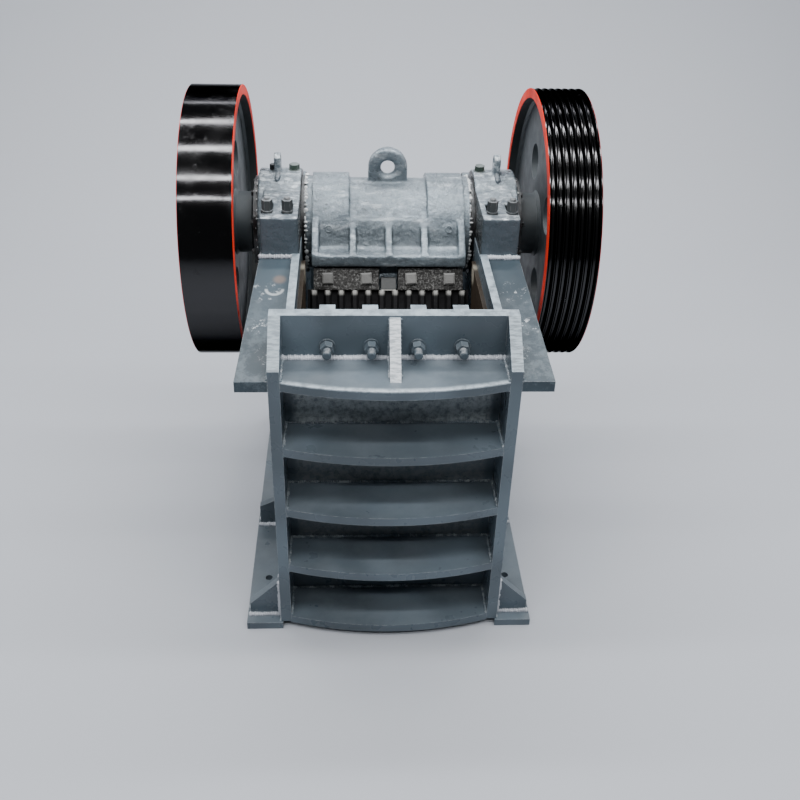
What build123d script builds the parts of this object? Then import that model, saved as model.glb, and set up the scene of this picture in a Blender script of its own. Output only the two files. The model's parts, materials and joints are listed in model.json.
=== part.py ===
from build123d import *
import math
import os

os.makedirs("parts", exist_ok=True)

# Frame: across, along and up
inner_width = 640.0
rear_margin = 86.0
top_height = 1234.0
side_thickness = 26.0
base_thickness = 30.0

# Front wall and the cheeks beside it
wall_setback = 148.0
wall_thickness = 42.0
wall_overhang = 16.0
cheek_thickness = 38.0
cheek_drop = 118.0
gusset_thickness = 35.0
gusset_drop = 5.0

# Curved front ribs
rib_count = 5
rib_lowest = 57.0
rib_thickness = 32.0
rib_bulge = 54.0
rib_drop = 157.0

# Sloping wing plates
wing_thickness = 38.0
wing_reach = 104.0
wing_front_drop = 154.0

# Eccentric shaft
shaft_setback = 977.0
shaft_drop = 30.0
shaft_middle_radius = 95.0
shaft_journal_radius = 85.0
shaft_end_radius = 75.0
shaft_overhang = 26.0
shaft_chamfer = 6.0
running_clearance = 0.05
cut_margin = 1.0

# Bearing housings
housing_setback = 2.0
housing_width = 161.0
block_width = 133.0
housing_radius = 205.0
housing_depth = 754.0
housing_step = 147.0
housing_edge = 6.0
seat_drop = 13.0
seat_thickness = 30.0
seat_gap = 1.0
seat_past_block = 6.0
pocket_width = 36.0
pocket_length = 100.0
pocket_depth = 30.0
pocket_setback = 43.0
pocket_spacing = 70.3
pocket_shift = 9.0
rear_flange_height = 38.0
lug_shift = 9.0
lug_thickness = 26.0
lug_rise = 71.0
lug_radius = 27.0
lug_hole_radius = 13.0
lug_root = 12.0

# Covers and seal rings
cover_radius = 175.0
cover_thickness = 16.0
seal_radius = 178.0
pitman_seal_thickness = 22.0
housing_seal_thickness = 12.0
seal_clearance = 5.0

# Flywheel and grooved pulley
wheel_radius = 506.0
hub_gap = 9.0
wheel_width = 186.0
rim_depth = 36.0
web_thickness = 40.0
web_inset = 44.0
hub_radius = 115.0
hub_reach = 28.0
hub_outer_inset = 10.0
web_hole_radius = 69.0
web_hole_circle = 240.0
web_hole_count = 4
web_hole_turn = 60.0
groove_count = 7
groove_pitch = 25.5
groove_depth = 19.0
groove_top = 21.0
groove_bottom = 9.0

# Moving jaw casting
pitman_radius = 191.0
pitman_middle_radius = 172.0
collar_width = 138.0
pitman_plate = 55.0
pitman_web = 30.0
pitman_bottom = 262.0
plate_bite = 10.0
plate_full_drop = 130.0
panel_reach = 60.0
panel_drop = 120.0
web_top_reach = 95.0
web_top_drop = 110.0
boss_rise = 70.0
boss_length = 90.0
boss_slope = 60.0
lip_reach = 287.0
lip_drop = 52.0
lip_height = 43.0
lip_step = 15.8
panel_lean = 27.0
ledge_curve = 30.0
rib_root = 10.0
rib_toe = 2.0
rib_slope_rise = 113.0
rib_slope_run = 150.0
end_rib_rise = 105.0
end_rib_run = 124.0
pitman_rib_thickness = 26.0
eye_radius = 74.0
eye_height = 225.0
eye_hole_radius = 26.0
eye_thickness = 44.0
eye_chamfer = 14.0
eye_round = 12.0
eye_cover = 20.0

# Jaw plates and their clamps
jaw_side_gap = 5.5
jaw_bottom = 290.0
hold_down_height = 44.0
jaw_base = 40.0
tooth_height = 28.0
tooth_pitch = 50.2
tooth_land = 12.0
tooth_root = 20.0
discharge_gap = 80.0
plate_lug_width = 54.0
plate_lug_height = 46.0
plate_lug_step = 10.0
clamp_height = 84.0
clamp_gap = 8.0
clamp_inner = 35.0
clamp_inset = 6.0
clamp_step = 3.0
clamp_chamfer = 8.0
hold_down_width = 50.0
hold_down_depth = 30.0
hold_down_inner_x = 77.5
hold_down_outer_x = 214.5
liner_thickness = 14.0
liner_overlap = 30.0

# Toggle plate and its seat
toggle_front_depth = 252.0
toggle_front_height = 331.0
toggle_rear_inset = 280.0
toggle_rear_height = 420.0
toggle_radius = 18.0
toggle_side_gap = 30.0
toggle_front_gap = 12.0
toggle_seat_gap = 0.3
seat_lip = 6.0
toggle_block_rise = 85.0
shim_pack = 48.0
shim_count = 4
shim_slit = 1.5
shim_slit_depth = 20.0
ledge_height = 40.0
ledge_width = 32.0

# Rear wall, tension rod and spring
rear_wall_thickness = 42.0
rear_wall_below_rod = 85.0
rear_wall_top = 800.0
rear_rib_depth = 60.0
rear_rib_x = 190.0
rear_rib_thickness = 28.0
rod_radius = 20.0
rod_drop = 57.0
rod_eye_setback = 78.0
rod_eye_lap = 6.0
rod_past_nut = 20.0
rod_overhang = 226.0
rod_hole_gap = 8.0
eye_ring_radius = 44.0
rod_eye_hole = 29.0
rod_eye_width = 36.0
rod_pin_radius = 15.0
ear_gap = 56.0
ear_thickness = 22.0
ear_radius = 30.0
spring_radius = 40.0
spring_wire = 9.0
spring_turns = 6.0
steps_per_turn = 16
wire_sides = 6
washer_radius = 62.0
washer_thickness = 14.0
nut_thickness = 32.0
nut_flats = 60.0

# Base plates, their gussets and the upright side ribs
foot_reach = 126.0
foot_front_reach = 8.0
base_lap = 7.0
gusset_inset = 11.0
front_gusset_setback = 40.0
front_gusset_rise = 166.0
front_gusset_lip = 51.0
middle_gusset_setback = 545.0
rear_gusset_inset = 70.0
rear_gusset_rise = 175.0
rear_gusset_lip = 95.0
foot_gusset_thickness = 30.0
side_rib_half = 287.0
side_rib_thickness = 28.0
side_rib_depth = 54.0
anchor_edge = 65.0
anchor_inset = 229.0
anchor_radius = 14.0

# Places worked out from the sizes above
side_inner = inner_width / 2
side_outer = side_inner + side_thickness
frame_length = shaft_setback + housing_depth / 2 + rear_margin
front_y = -frame_length / 2
rear_y = frame_length / 2
wall_front_y = front_y + wall_setback
wall_back_y = wall_front_y + wall_thickness
cheek_inner = side_outer + wall_overhang
cheek_outer = cheek_inner + cheek_thickness
wing_front_half = cheek_outer + wing_reach
foot_half_width = cheek_outer + foot_reach
anchor_x = foot_half_width - anchor_edge
shaft_y = front_y + shaft_setback
seat_height = top_height - seat_drop
shaft_height = seat_height - shaft_drop
housing_inner_x = side_inner + housing_setback
housing_outer_x = housing_inner_x + housing_width
lug_x = housing_inner_x + housing_width / 2 + lug_shift
lug_top = shaft_height + housing_radius + lug_rise
pitman_half_width = housing_inner_x - housing_seal_thickness - pitman_seal_thickness - seal_clearance
pitman_middle_half = pitman_half_width - collar_width
lip_top = top_height - lip_drop
lip_bottom = lip_top - lip_height
tip_lip_y = shaft_y - lip_reach
block_outer_x = housing_inner_x + block_width
housing_front_y = shaft_y - housing_depth / 2
housing_rear_y = shaft_y + housing_depth / 2
shelf_height = seat_height + housing_step
notch_radius = housing_radius + seat_gap
first_rib_top = top_height - rib_drop
fixed_jaw_top = top_height - hold_down_height
rib_spacing = (first_rib_top - rib_lowest) / (rib_count - 1)
jaw_half_width = side_inner - liner_thickness - jaw_side_gap
clamp_outer = pitman_half_width - clamp_inset
toggle_half_width = pitman_half_width - toggle_side_gap
fixed_face_y = wall_back_y + jaw_base + tooth_height
tip_bottom_y = fixed_face_y + discharge_gap
lean = math.atan2(tip_lip_y + lip_step - tip_bottom_y, lip_bottom - jaw_bottom)
jaw_plane = Plane(
    origin=(0, tip_bottom_y, jaw_bottom),
    x_dir=(1, 0, 0),
    z_dir=(0, math.sin(lean), math.cos(lean)),
)
seat_offset = (jaw_base + tooth_height) / math.cos(lean)
moving_jaw_length = (lip_bottom - clamp_gap - jaw_bottom) / math.cos(lean) - clamp_height
toggle_front_y = tip_bottom_y + (toggle_front_height - jaw_bottom) * math.tan(lean) + seat_offset + toggle_front_depth
toggle_rear_y = rear_y - toggle_rear_inset
rear_wall_front_y = rear_y - rear_wall_thickness
rod_front_y = toggle_front_y - rod_eye_setback
rod_height = pitman_bottom - rod_drop
rear_wall_bottom = rod_height - rear_wall_below_rod
wheel_inner_x = housing_outer_x + cover_thickness + hub_reach + hub_gap
wheel_outer_x = wheel_inner_x + wheel_width
SIDES = {"left": -1, "right": 1}


def save(part, name):
    part.label = name
    export_step(part, "parts/" + name + ".step")


def tip_y(height):
    """Where the tips of the moving teeth lie at a height."""
    return tip_bottom_y + (height - jaw_bottom) * math.tan(lean)


def seat_y(height):
    """Where the moving jaw plate meets the casting behind it."""
    return tip_y(height) + seat_offset


def side_plane(x):
    return Plane.YZ.offset(x)


def slab(points, start, width, side):
    """A plate whose outline lies in the side view, from x = start outwards."""
    with BuildPart() as plate:
        with BuildSketch(side_plane(side * start)):
            with BuildLine():
                Polyline(*points, close=True)
            make_face()
        extrude(amount=side * width)
    return plate.part


# Side plates, with the notch that the bearing housing drops into
for name, side in SIDES.items():
    with BuildPart() as side_plate:
        with BuildSketch(side_plane(side * side_inner)):
            with BuildLine():
                Polyline(
                    (wall_back_y, base_thickness),
                    (rear_y, base_thickness),
                    (rear_y, rear_wall_top),
                    (housing_rear_y, seat_height),
                    (housing_front_y, seat_height),
                    (housing_front_y, top_height),
                    (wall_back_y, top_height),
                    close=True,
                )
            make_face()
            with Locations((shaft_y, shaft_height)):
                Circle(notch_radius, mode=Mode.SUBTRACT)
        extrude(amount=side * side_thickness)
    save(side_plate.part, "side_plate_" + name)

# Front wall
with BuildPart() as front_wall:
    with BuildSketch(Plane.XZ.offset(-wall_front_y)):
        with Locations((0, (top_height + base_thickness) / 2)):
            Rectangle(2 * cheek_inner, top_height - base_thickness)
    extrude(amount=-wall_thickness)
save(front_wall.part, "front_wall")

# Cheeks that close the ends of the ribs
cheek_points = [
    (front_y, base_thickness),
    (wall_back_y, base_thickness),
    (wall_back_y, top_height),
    (wall_front_y, top_height),
    (front_y, top_height - cheek_drop),
]
for name, side in SIDES.items():
    save(slab(cheek_points, cheek_inner, cheek_thickness, side), "front_cheek_" + name)

# Curved ribs across the front
for number in range(rib_count):
    rib_top = first_rib_top - number * rib_spacing
    with BuildPart() as front_rib:
        with BuildSketch(Plane.XY.offset(rib_top - rib_thickness)):
            with BuildLine():
                Polyline(
                    (-cheek_inner, front_y),
                    (-cheek_inner, wall_front_y),
                    (cheek_inner, wall_front_y),
                    (cheek_inner, front_y),
                )
                ThreePointArc((cheek_inner, front_y), (0, front_y - rib_bulge), (-cheek_inner, front_y))
            make_face()
        extrude(amount=rib_thickness)
    save(front_rib.part, "front_rib_" + str(number + 1))

# Upright gusset in the middle of the top bay
gusset_points = [
    (front_y, first_rib_top),
    (wall_front_y, first_rib_top),
    (wall_front_y, top_height - gusset_drop),
]
with BuildPart() as wall_gusset:
    with BuildSketch(side_plane(-gusset_thickness / 2)):
        with BuildLine():
            Polyline(*gusset_points, close=True)
        make_face()
    extrude(amount=gusset_thickness)
save(wall_gusset.part, "wall_gusset")

# Wings: flat plates that slope down from the bearing housings to the front
wing_front_top = top_height - wing_front_drop
for name, side in SIDES.items():
    with BuildPart() as wing:
        with BuildSketch(side_plane(side * side_outer)):
            with BuildLine():
                Polyline(
                    (front_y, wing_front_top),
                    (front_y, wing_front_top - wing_thickness),
                    (housing_front_y, seat_height - wing_thickness),
                    (housing_front_y, seat_height),
                    close=True,
                )
            make_face()
        extrude(amount=side * (wing_front_half - side_outer))
        with BuildSketch():
            with BuildLine():
                Polyline(
                    (side * side_outer, wall_back_y),
                    (side * cheek_outer, wall_back_y),
                    (side * cheek_outer, front_y),
                    (side * wing_front_half, front_y),
                    (side * (block_outer_x + seat_past_block), housing_front_y),
                    (side * side_outer, housing_front_y),
                    close=True,
                )
            make_face()
        extrude(amount=top_height, mode=Mode.INTERSECT)
    save(wing.part, "wing_" + name)

# Seats that carry the bearing housings outside the side plates
for name, side in SIDES.items():
    with BuildPart() as bearing_seat:
        with BuildSketch(side_plane(side * side_outer)):
            with Locations((shaft_y, seat_height - seat_thickness / 2)):
                Rectangle(housing_depth, seat_thickness)
            with Locations((shaft_y, shaft_height)):
                Circle(notch_radius, mode=Mode.SUBTRACT)
        extrude(amount=side * (block_outer_x + seat_past_block - side_outer))
    save(bearing_seat.part, "bearing_seat_" + name)

# Bearing housings: a round cap on a stepped block, bored for the journal
for name, side in SIDES.items():
    with BuildPart() as bearing_housing:
        with BuildSketch(side_plane(side * housing_inner_x)):
            with Locations((shaft_y, shaft_height)):
                Circle(housing_radius)
        extrude(amount=side * housing_width)
        chamfer(bearing_housing.edges().filter_by(GeomType.CIRCLE), length=housing_edge)
        with BuildSketch(side_plane(side * housing_inner_x)):
            with BuildLine():
                Polyline(
                    (housing_front_y, seat_height),
                    (housing_rear_y, seat_height),
                    (housing_rear_y, seat_height + rear_flange_height),
                    (shaft_y + housing_radius - rear_flange_height, seat_height + rear_flange_height),
                    (shaft_y, shelf_height),
                    (housing_front_y, shelf_height),
                    close=True,
                )
            make_face()
        extrude(amount=side * block_width)
        with BuildSketch(Plane.XY.offset(shelf_height)):
            pocket_y = housing_front_y + pocket_setback + pocket_length / 2
            with Locations((side * (housing_inner_x + block_width / 2 + pocket_shift), pocket_y)):
                with GridLocations(pocket_spacing, 0, 2, 1):
                    Rectangle(pocket_width, pocket_length)
        extrude(amount=-pocket_depth, mode=Mode.SUBTRACT)
        with BuildSketch(side_plane(side * (lug_x - lug_thickness / 2))):
            with Locations((shaft_y, lug_top - lug_radius)):
                Circle(lug_radius)
            with Locations((shaft_y, (lug_top - lug_radius + shaft_height + housing_radius - lug_root) / 2)):
                Rectangle(2 * lug_radius, lug_top - lug_radius - shaft_height - housing_radius + lug_root)
            with Locations((shaft_y, lug_top - lug_radius)):
                Circle(lug_hole_radius, mode=Mode.SUBTRACT)
        extrude(amount=side * lug_thickness)
        with BuildSketch(side_plane(side * housing_inner_x)):
            with Locations((shaft_y, shaft_height)):
                Circle(shaft_journal_radius + running_clearance)
        extrude(amount=side * housing_width, mode=Mode.SUBTRACT)
    save(bearing_housing.part, "bearing_housing_" + name)


def ring(side, start, thickness, outer, inner):
    """A ring round the shaft, from x = start outwards."""
    with BuildPart() as disc:
        with BuildSketch(side_plane(side * start)):
            with Locations((shaft_y, shaft_height)):
                Circle(outer)
                Circle(inner, mode=Mode.SUBTRACT)
        extrude(amount=side * thickness)
    return disc.part


# Outer bearing covers and the seals between housing and moving casting
for name, side in SIDES.items():
    bore = shaft_journal_radius + seal_clearance
    save(ring(side, housing_outer_x, cover_thickness, cover_radius, bore), "bearing_cover_" + name)
    start = housing_inner_x - housing_seal_thickness
    bore = shaft_middle_radius + seal_clearance
    save(ring(side, start, housing_seal_thickness, seal_radius, bore), "housing_seal_" + name)
    start = pitman_half_width
    save(ring(side, start, pitman_seal_thickness, seal_radius, bore), "pitman_seal_" + name)

# Eccentric shaft: a thick middle, two journals and two ends
with BuildPart() as eccentric_shaft:
    with BuildSketch(Plane.XY.offset(shaft_height)):
        middle = pitman_half_width + pitman_seal_thickness
        journal = housing_outer_x + cover_thickness / 2
        shaft_end = wheel_outer_x + shaft_overhang
        with BuildLine():
            Polyline(
                (-shaft_end, shaft_y),
                (-shaft_end, shaft_y + shaft_end_radius),
                (-journal, shaft_y + shaft_end_radius),
                (-journal, shaft_y + shaft_journal_radius),
                (-middle, shaft_y + shaft_journal_radius),
                (-middle, shaft_y + shaft_middle_radius),
                (middle, shaft_y + shaft_middle_radius),
                (middle, shaft_y + shaft_journal_radius),
                (journal, shaft_y + shaft_journal_radius),
                (journal, shaft_y + shaft_end_radius),
                (shaft_end, shaft_y + shaft_end_radius),
                (shaft_end, shaft_y),
                close=True,
            )
        make_face()
    revolve(axis=Axis((0, shaft_y, shaft_height), (1, 0, 0)))
    chamfer(eccentric_shaft.edges().group_by(Axis.X)[-1], length=shaft_chamfer)
    chamfer(eccentric_shaft.edges().group_by(Axis.X)[0], length=shaft_chamfer)
save(eccentric_shaft.part, "eccentric_shaft")


def wheel_outline(grooved):
    """Half section of a wheel as points (x from the inner face, radius)."""
    bore = shaft_end_radius + running_clearance
    rim_inner = wheel_radius - rim_depth
    web_start = web_inset
    web_end = web_inset + web_thickness
    points = [(-hub_reach, bore), (-hub_reach, hub_radius), (web_start, hub_radius), (web_start, rim_inner)]
    points += [(0, rim_inner), (0, wheel_radius)]
    if grooved:
        first = wheel_width / 2 - groove_pitch * (groove_count - 1) / 2
        for number in range(groove_count):
            middle = first + number * groove_pitch
            points += [
                (middle - groove_top / 2, wheel_radius),
                (middle - groove_bottom / 2, wheel_radius - groove_depth),
                (middle + groove_bottom / 2, wheel_radius - groove_depth),
                (middle + groove_top / 2, wheel_radius),
            ]
    points += [(wheel_width, wheel_radius), (wheel_width, rim_inner), (web_end, rim_inner), (web_end, hub_radius)]
    points += [(wheel_width - hub_outer_inset, hub_radius), (wheel_width - hub_outer_inset, bore)]
    return points


# Flywheel on the left end of the shaft, grooved pulley on the right end
for name, side, grooved in (("flywheel", -1, False), ("grooved_pulley", 1, True)):
    with BuildPart() as wheel:
        with BuildSketch(Plane.XY.offset(shaft_height)):
            with BuildLine():
                Polyline(
                    *[(side * (wheel_inner_x + x), shaft_y + r) for x, r in wheel_outline(grooved)],
                    close=True,
                )
            make_face()
        revolve(axis=Axis((0, shaft_y, shaft_height), (1, 0, 0)))
        with BuildSketch(side_plane(side * wheel_inner_x)):
            with Locations((shaft_y, shaft_height)):
                with PolarLocations(web_hole_circle, web_hole_count, start_angle=web_hole_turn):
                    Circle(web_hole_radius)
        extrude(amount=side * wheel_width, mode=Mode.SUBTRACT)
    save(wheel.part, name)

# Moving jaw casting: bearing barrel, front plate, webs, lip, ribs and lifting eye
plate_rear = pitman_plate / math.cos(lean)
plate_full = lip_bottom - plate_full_drop
panel_y = shaft_y - panel_reach
boss_top = toggle_front_height + boss_rise
panel_slope = math.radians(panel_lean)
panel_top = (
    shaft_y - pitman_radius * math.cos(panel_slope),
    shaft_height + pitman_radius * math.sin(panel_slope),
)
ledge_corner_y = panel_top[0] - (panel_top[1] - lip_top) * math.tan(panel_slope)
ledge_arc = ledge_curve * math.tan(math.radians(90 - panel_lean) / 2)
ledge_arc_end = (ledge_corner_y + ledge_arc * math.sin(panel_slope), lip_top + ledge_arc * math.cos(panel_slope))
with BuildPart() as pitman:
    with BuildSketch(side_plane(-pitman_half_width)):
        with Locations((shaft_y, shaft_height)):
            Circle(pitman_radius)
    extrude(amount=2 * pitman_half_width)
    with BuildSketch(side_plane(-pitman_middle_half)):
        with Locations((shaft_y, shaft_height)):
            Circle(pitman_radius + cut_margin)
            Circle(pitman_middle_radius, mode=Mode.SUBTRACT)
    extrude(amount=2 * pitman_middle_half, mode=Mode.SUBTRACT)
    # front plate, lip and the panel that joins them to the barrel
    with BuildSketch(side_plane(-pitman_half_width)):
        with BuildLine():
            Polyline(
                (tip_lip_y, lip_top),
                (tip_lip_y, lip_bottom),
                (seat_y(lip_bottom), lip_bottom),
                (seat_y(pitman_bottom), pitman_bottom),
                (seat_y(pitman_bottom) + plate_rear, pitman_bottom),
                (seat_y(plate_full) + plate_rear, plate_full),
                (panel_y, shaft_height - panel_drop),
                (panel_y, panel_top[1]),
                panel_top,
                ledge_arc_end,
            )
            TangentArc((ledge_corner_y - ledge_arc, lip_top), ledge_arc_end, tangent=(1, 0))
            Line((ledge_corner_y - ledge_arc, lip_top), (tip_lip_y, lip_top))
        make_face()
    extrude(amount=2 * pitman_half_width)
    # upright webs behind the plate
    for web_x in (-pitman_half_width, -pitman_web / 2, pitman_half_width - pitman_web):
        with BuildSketch(side_plane(web_x)):
            with BuildLine():
                Polyline(
                    (seat_y(pitman_bottom) + plate_bite, pitman_bottom),
                    (toggle_front_y, pitman_bottom),
                    (toggle_front_y, boss_top),
                    (shaft_y + web_top_reach, shaft_height - web_top_drop),
                    (shaft_y, shaft_height),
                    (seat_y(shaft_height - panel_reach) + plate_bite, shaft_height - panel_reach),
                    close=True,
                )
            make_face()
        extrude(amount=pitman_web)
    # toggle boss along the bottom
    with BuildSketch(side_plane(-pitman_half_width)):
        with BuildLine():
            Polyline(
                (seat_y(pitman_bottom) + plate_bite, pitman_bottom),
                (toggle_front_y, pitman_bottom),
                (toggle_front_y, boss_top),
                (toggle_front_y - boss_length, boss_top),
                (seat_y(boss_top + boss_slope) + plate_bite, boss_top + boss_slope),
                close=True,
            )
        make_face()
    extrude(amount=2 * pitman_half_width)
    # ribs from the lip's edge up to the barrel
    end_rib = pitman_half_width - pitman_rib_thickness / 2
    side_rib = pitman_middle_half - pitman_rib_thickness / 2
    inner_rib = (rib_slope_run, rib_slope_rise)
    outer_rib = (end_rib_run, end_rib_rise)
    for rib_x, (run, rise) in (
        (-end_rib, outer_rib),
        (-side_rib, inner_rib),
        (0, inner_rib),
        (side_rib, inner_rib),
        (end_rib, outer_rib),
    ):
        with BuildSketch(side_plane(rib_x - pitman_rib_thickness / 2)):
            with BuildLine():
                Polyline(
                    (tip_lip_y, lip_top - rib_root),
                    (tip_lip_y + rib_toe, lip_top + rib_toe),
                    (tip_lip_y + run, lip_top + rise),
                    (panel_y, lip_top + rise),
                    (panel_y, lip_top - rib_root),
                    close=True,
                )
            make_face()
        extrude(amount=pitman_rib_thickness)
    # lifting eye
    eye_centre = shaft_height + eye_height
    eye_foot = shaft_height + shaft_middle_radius + eye_cover
    with BuildSketch(Plane.XZ.offset(-(shaft_y - eye_thickness / 2))):
        with Locations((0, eye_centre)):
            Circle(eye_radius)
        with Locations((0, (eye_centre + eye_foot) / 2)):
            Rectangle(2 * eye_radius, eye_centre - eye_foot)
    extrude(amount=-eye_thickness)
    eye_edges = pitman.edges(Select.LAST).filter_by(GeomType.CIRCLE)
    fillet(eye_edges.filter_by(lambda edge: edge.radius < pitman_middle_radius), radius=eye_round)
    with BuildSketch(Plane.XZ.offset(-(shaft_y - eye_thickness / 2))):
        with Locations((0, eye_centre)):
            Circle(eye_hole_radius)
    extrude(amount=-eye_thickness, mode=Mode.SUBTRACT)
    eye_rims = pitman.edges(Select.LAST).filter_by(GeomType.CIRCLE)
    chamfer(eye_rims, length=eye_chamfer)
    # bore for the shaft and groove for the toggle plate
    with BuildSketch(side_plane(-pitman_half_width)):
        with Locations((shaft_y, shaft_height)):
            Circle(shaft_middle_radius + running_clearance)
        with Locations((toggle_front_y, toggle_front_height)):
            Circle(toggle_radius + toggle_front_gap)
    extrude(amount=2 * pitman_half_width, mode=Mode.SUBTRACT)
    # two ears and a pin for the tension rod
    for side in SIDES.values():
        with BuildSketch(side_plane(side * ear_gap / 2)):
            with Locations((rod_front_y, rod_height)):
                Circle(ear_radius)
            with Locations((rod_front_y, (rod_height + pitman_bottom + plate_bite) / 2)):
                Rectangle(2 * ear_radius, pitman_bottom + plate_bite - rod_height)
        extrude(amount=side * ear_thickness)
    with BuildSketch(side_plane(-ear_gap / 2)):
        with Locations((rod_front_y, rod_height)):
            Circle(rod_pin_radius)
    extrude(amount=ear_gap)
save(pitman.part, "pitman")


def tooth_points(count, offset):
    """Toothed edge of a jaw plate seen from above: tips at 0, roots behind."""
    points = []
    for number in range(count):
        middle = offset + (number - (count - 1) / 2) * tooth_pitch
        points += [
            (middle - tooth_pitch / 2 + tooth_root / 2, tooth_height),
            (middle - tooth_land / 2, 0),
            (middle + tooth_land / 2, 0),
            (middle + tooth_pitch / 2 - tooth_root / 2, tooth_height),
        ]
    inside = [point for point in points if abs(point[0]) < jaw_half_width]
    start_y = 0 if abs(abs(points[0][0]) - jaw_half_width) > tooth_pitch / 2 else tooth_height
    return [(-jaw_half_width, start_y)] + inside + [(jaw_half_width, start_y)]


# Fixed jaw plate on the back of the front wall; its teeth face the rear
fixed_teeth = int(2 * jaw_half_width / tooth_pitch)
with BuildPart() as fixed_jaw_plate:
    with BuildSketch(Plane.XY.offset(jaw_bottom)):
        with BuildLine():
            Polyline(
                (-jaw_half_width, wall_back_y),
                *[(x, fixed_face_y - y) for x, y in tooth_points(fixed_teeth, 0)],
                (jaw_half_width, wall_back_y),
                close=True,
            )
        make_face()
    extrude(amount=fixed_jaw_top - jaw_bottom)
save(fixed_jaw_plate.part, "fixed_jaw_plate")

# Moving jaw plate, leaning back from the discharge to the feed opening
moving_teeth = fixed_teeth + 1
with BuildPart() as moving_jaw_plate:
    with BuildSketch(jaw_plane):
        with BuildLine():
            Polyline(
                (-jaw_half_width, jaw_base + tooth_height),
                *tooth_points(moving_teeth, 0),
                (jaw_half_width, jaw_base + tooth_height),
                close=True,
            )
        make_face()
    extrude(amount=moving_jaw_length)
    with BuildSketch(jaw_plane.offset(moving_jaw_length)):
        with Locations((0, (jaw_base + tooth_height + plate_lug_step) / 2)):
            Rectangle(plate_lug_width, jaw_base + tooth_height - plate_lug_step)
    extrude(amount=plate_lug_height)
save(moving_jaw_plate.part, "moving_jaw_plate")

# Clamp plates that hold the top of the moving jaw plate
for name, side in SIDES.items():
    with BuildPart() as jaw_clamp:
        with BuildSketch(jaw_plane.offset(moving_jaw_length)):
            with Locations((side * (clamp_inner + clamp_outer) / 2, (jaw_base + tooth_height + clamp_step) / 2)):
                Rectangle(clamp_outer - clamp_inner, jaw_base + tooth_height - clamp_step)
        extrude(amount=clamp_height)
        chamfer(jaw_clamp.edges().filter_by(Axis.X).group_by(Axis.Z)[-1].sort_by(Axis.Y)[0], length=clamp_chamfer)
    save(jaw_clamp.part, "jaw_clamp_" + name)

# Blocks on the wall that hold the fixed jaw plate down
with BuildPart() as jaw_hold_downs:
    with BuildSketch(Plane.XY.offset(fixed_jaw_top)):
        for place in (hold_down_inner_x, hold_down_outer_x):
            for side in SIDES.values():
                with Locations((side * place, wall_back_y + hold_down_depth / 2)):
                    Rectangle(hold_down_width, hold_down_depth)
    extrude(amount=top_height - fixed_jaw_top)
save(jaw_hold_downs.part, "jaw_hold_downs")

# Side liners of the crushing chamber
liner_points = [
    (wall_back_y, jaw_bottom),
    (tip_y(jaw_bottom) + liner_overlap, jaw_bottom),
    (tip_y(fixed_jaw_top) - liner_overlap, fixed_jaw_top - liner_overlap),
    (wall_back_y, fixed_jaw_top - liner_overlap),
]
for name, side in SIDES.items():
    start = side_inner - liner_thickness
    save(slab(liner_points, start, liner_thickness, side), "chamber_liner_" + name)

# Toggle plate, with rounded ends
toggle_length = math.hypot(toggle_rear_y - toggle_front_y, toggle_rear_height - toggle_front_height)
toggle_angle = math.degrees(math.atan2(toggle_rear_height - toggle_front_height, toggle_rear_y - toggle_front_y))
with BuildPart() as toggle_plate:
    with BuildSketch(side_plane(-toggle_half_width)):
        middle = ((toggle_front_y + toggle_rear_y) / 2, (toggle_front_height + toggle_rear_height) / 2)
        with Locations(Location((middle[0], middle[1], 0), (0, 0, toggle_angle))):
            SlotCenterToCenter(toggle_length, 2 * toggle_radius)
    extrude(amount=2 * toggle_half_width)
save(toggle_plate.part, "toggle_plate")

# Rear toggle seat, the shims behind it and the ledges it slides on
block_half = side_inner
block_rear_y = rear_wall_front_y - shim_pack
with BuildPart() as toggle_seat:
    with BuildSketch(side_plane(-block_half)):
        with Locations(((toggle_rear_y + seat_lip + block_rear_y) / 2, toggle_rear_height)):
            Rectangle(block_rear_y - toggle_rear_y - seat_lip, 2 * toggle_block_rise)
        with Locations((toggle_rear_y, toggle_rear_height)):
            Circle(toggle_radius + toggle_seat_gap, mode=Mode.SUBTRACT)
    extrude(amount=2 * block_half)
save(toggle_seat.part, "toggle_seat")

with BuildPart() as adjusting_shims:
    with BuildSketch(side_plane(-block_half)):
        with Locations((rear_wall_front_y - shim_pack / 2, toggle_rear_height)):
            Rectangle(shim_pack, 2 * toggle_block_rise)
    extrude(amount=2 * block_half)
    with BuildSketch(side_plane(-block_half)):
        for number in range(1, shim_count):
            slit_y = rear_wall_front_y - shim_pack * number / shim_count
            with Locations((slit_y, toggle_rear_height + toggle_block_rise)):
                Rectangle(shim_slit, shim_slit_depth)
    extrude(amount=2 * block_half, mode=Mode.SUBTRACT)
save(adjusting_shims.part, "adjusting_shims")

with BuildPart() as toggle_ledges:
    with BuildSketch(Plane.XY.offset(toggle_rear_height - toggle_block_rise - ledge_height)):
        for side in SIDES.values():
            with Locations((side * (side_inner - ledge_width / 2), (toggle_rear_y + rear_wall_front_y) / 2)):
                Rectangle(ledge_width, rear_wall_front_y - toggle_rear_y)
    extrude(amount=ledge_height)
save(toggle_ledges.part, "toggle_ledges")

# Rear wall with the hole for the tension rod, and its ribs
with BuildPart() as rear_wall:
    with BuildSketch(Plane.XZ.offset(-rear_wall_front_y)):
        with Locations((0, (rear_wall_bottom + rear_wall_top) / 2)):
            Rectangle(inner_width, rear_wall_top - rear_wall_bottom)
        with Locations((0, rod_height)):
            Circle(rod_radius + rod_hole_gap, mode=Mode.SUBTRACT)
    extrude(amount=-rear_wall_thickness)
save(rear_wall.part, "rear_wall")

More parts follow.
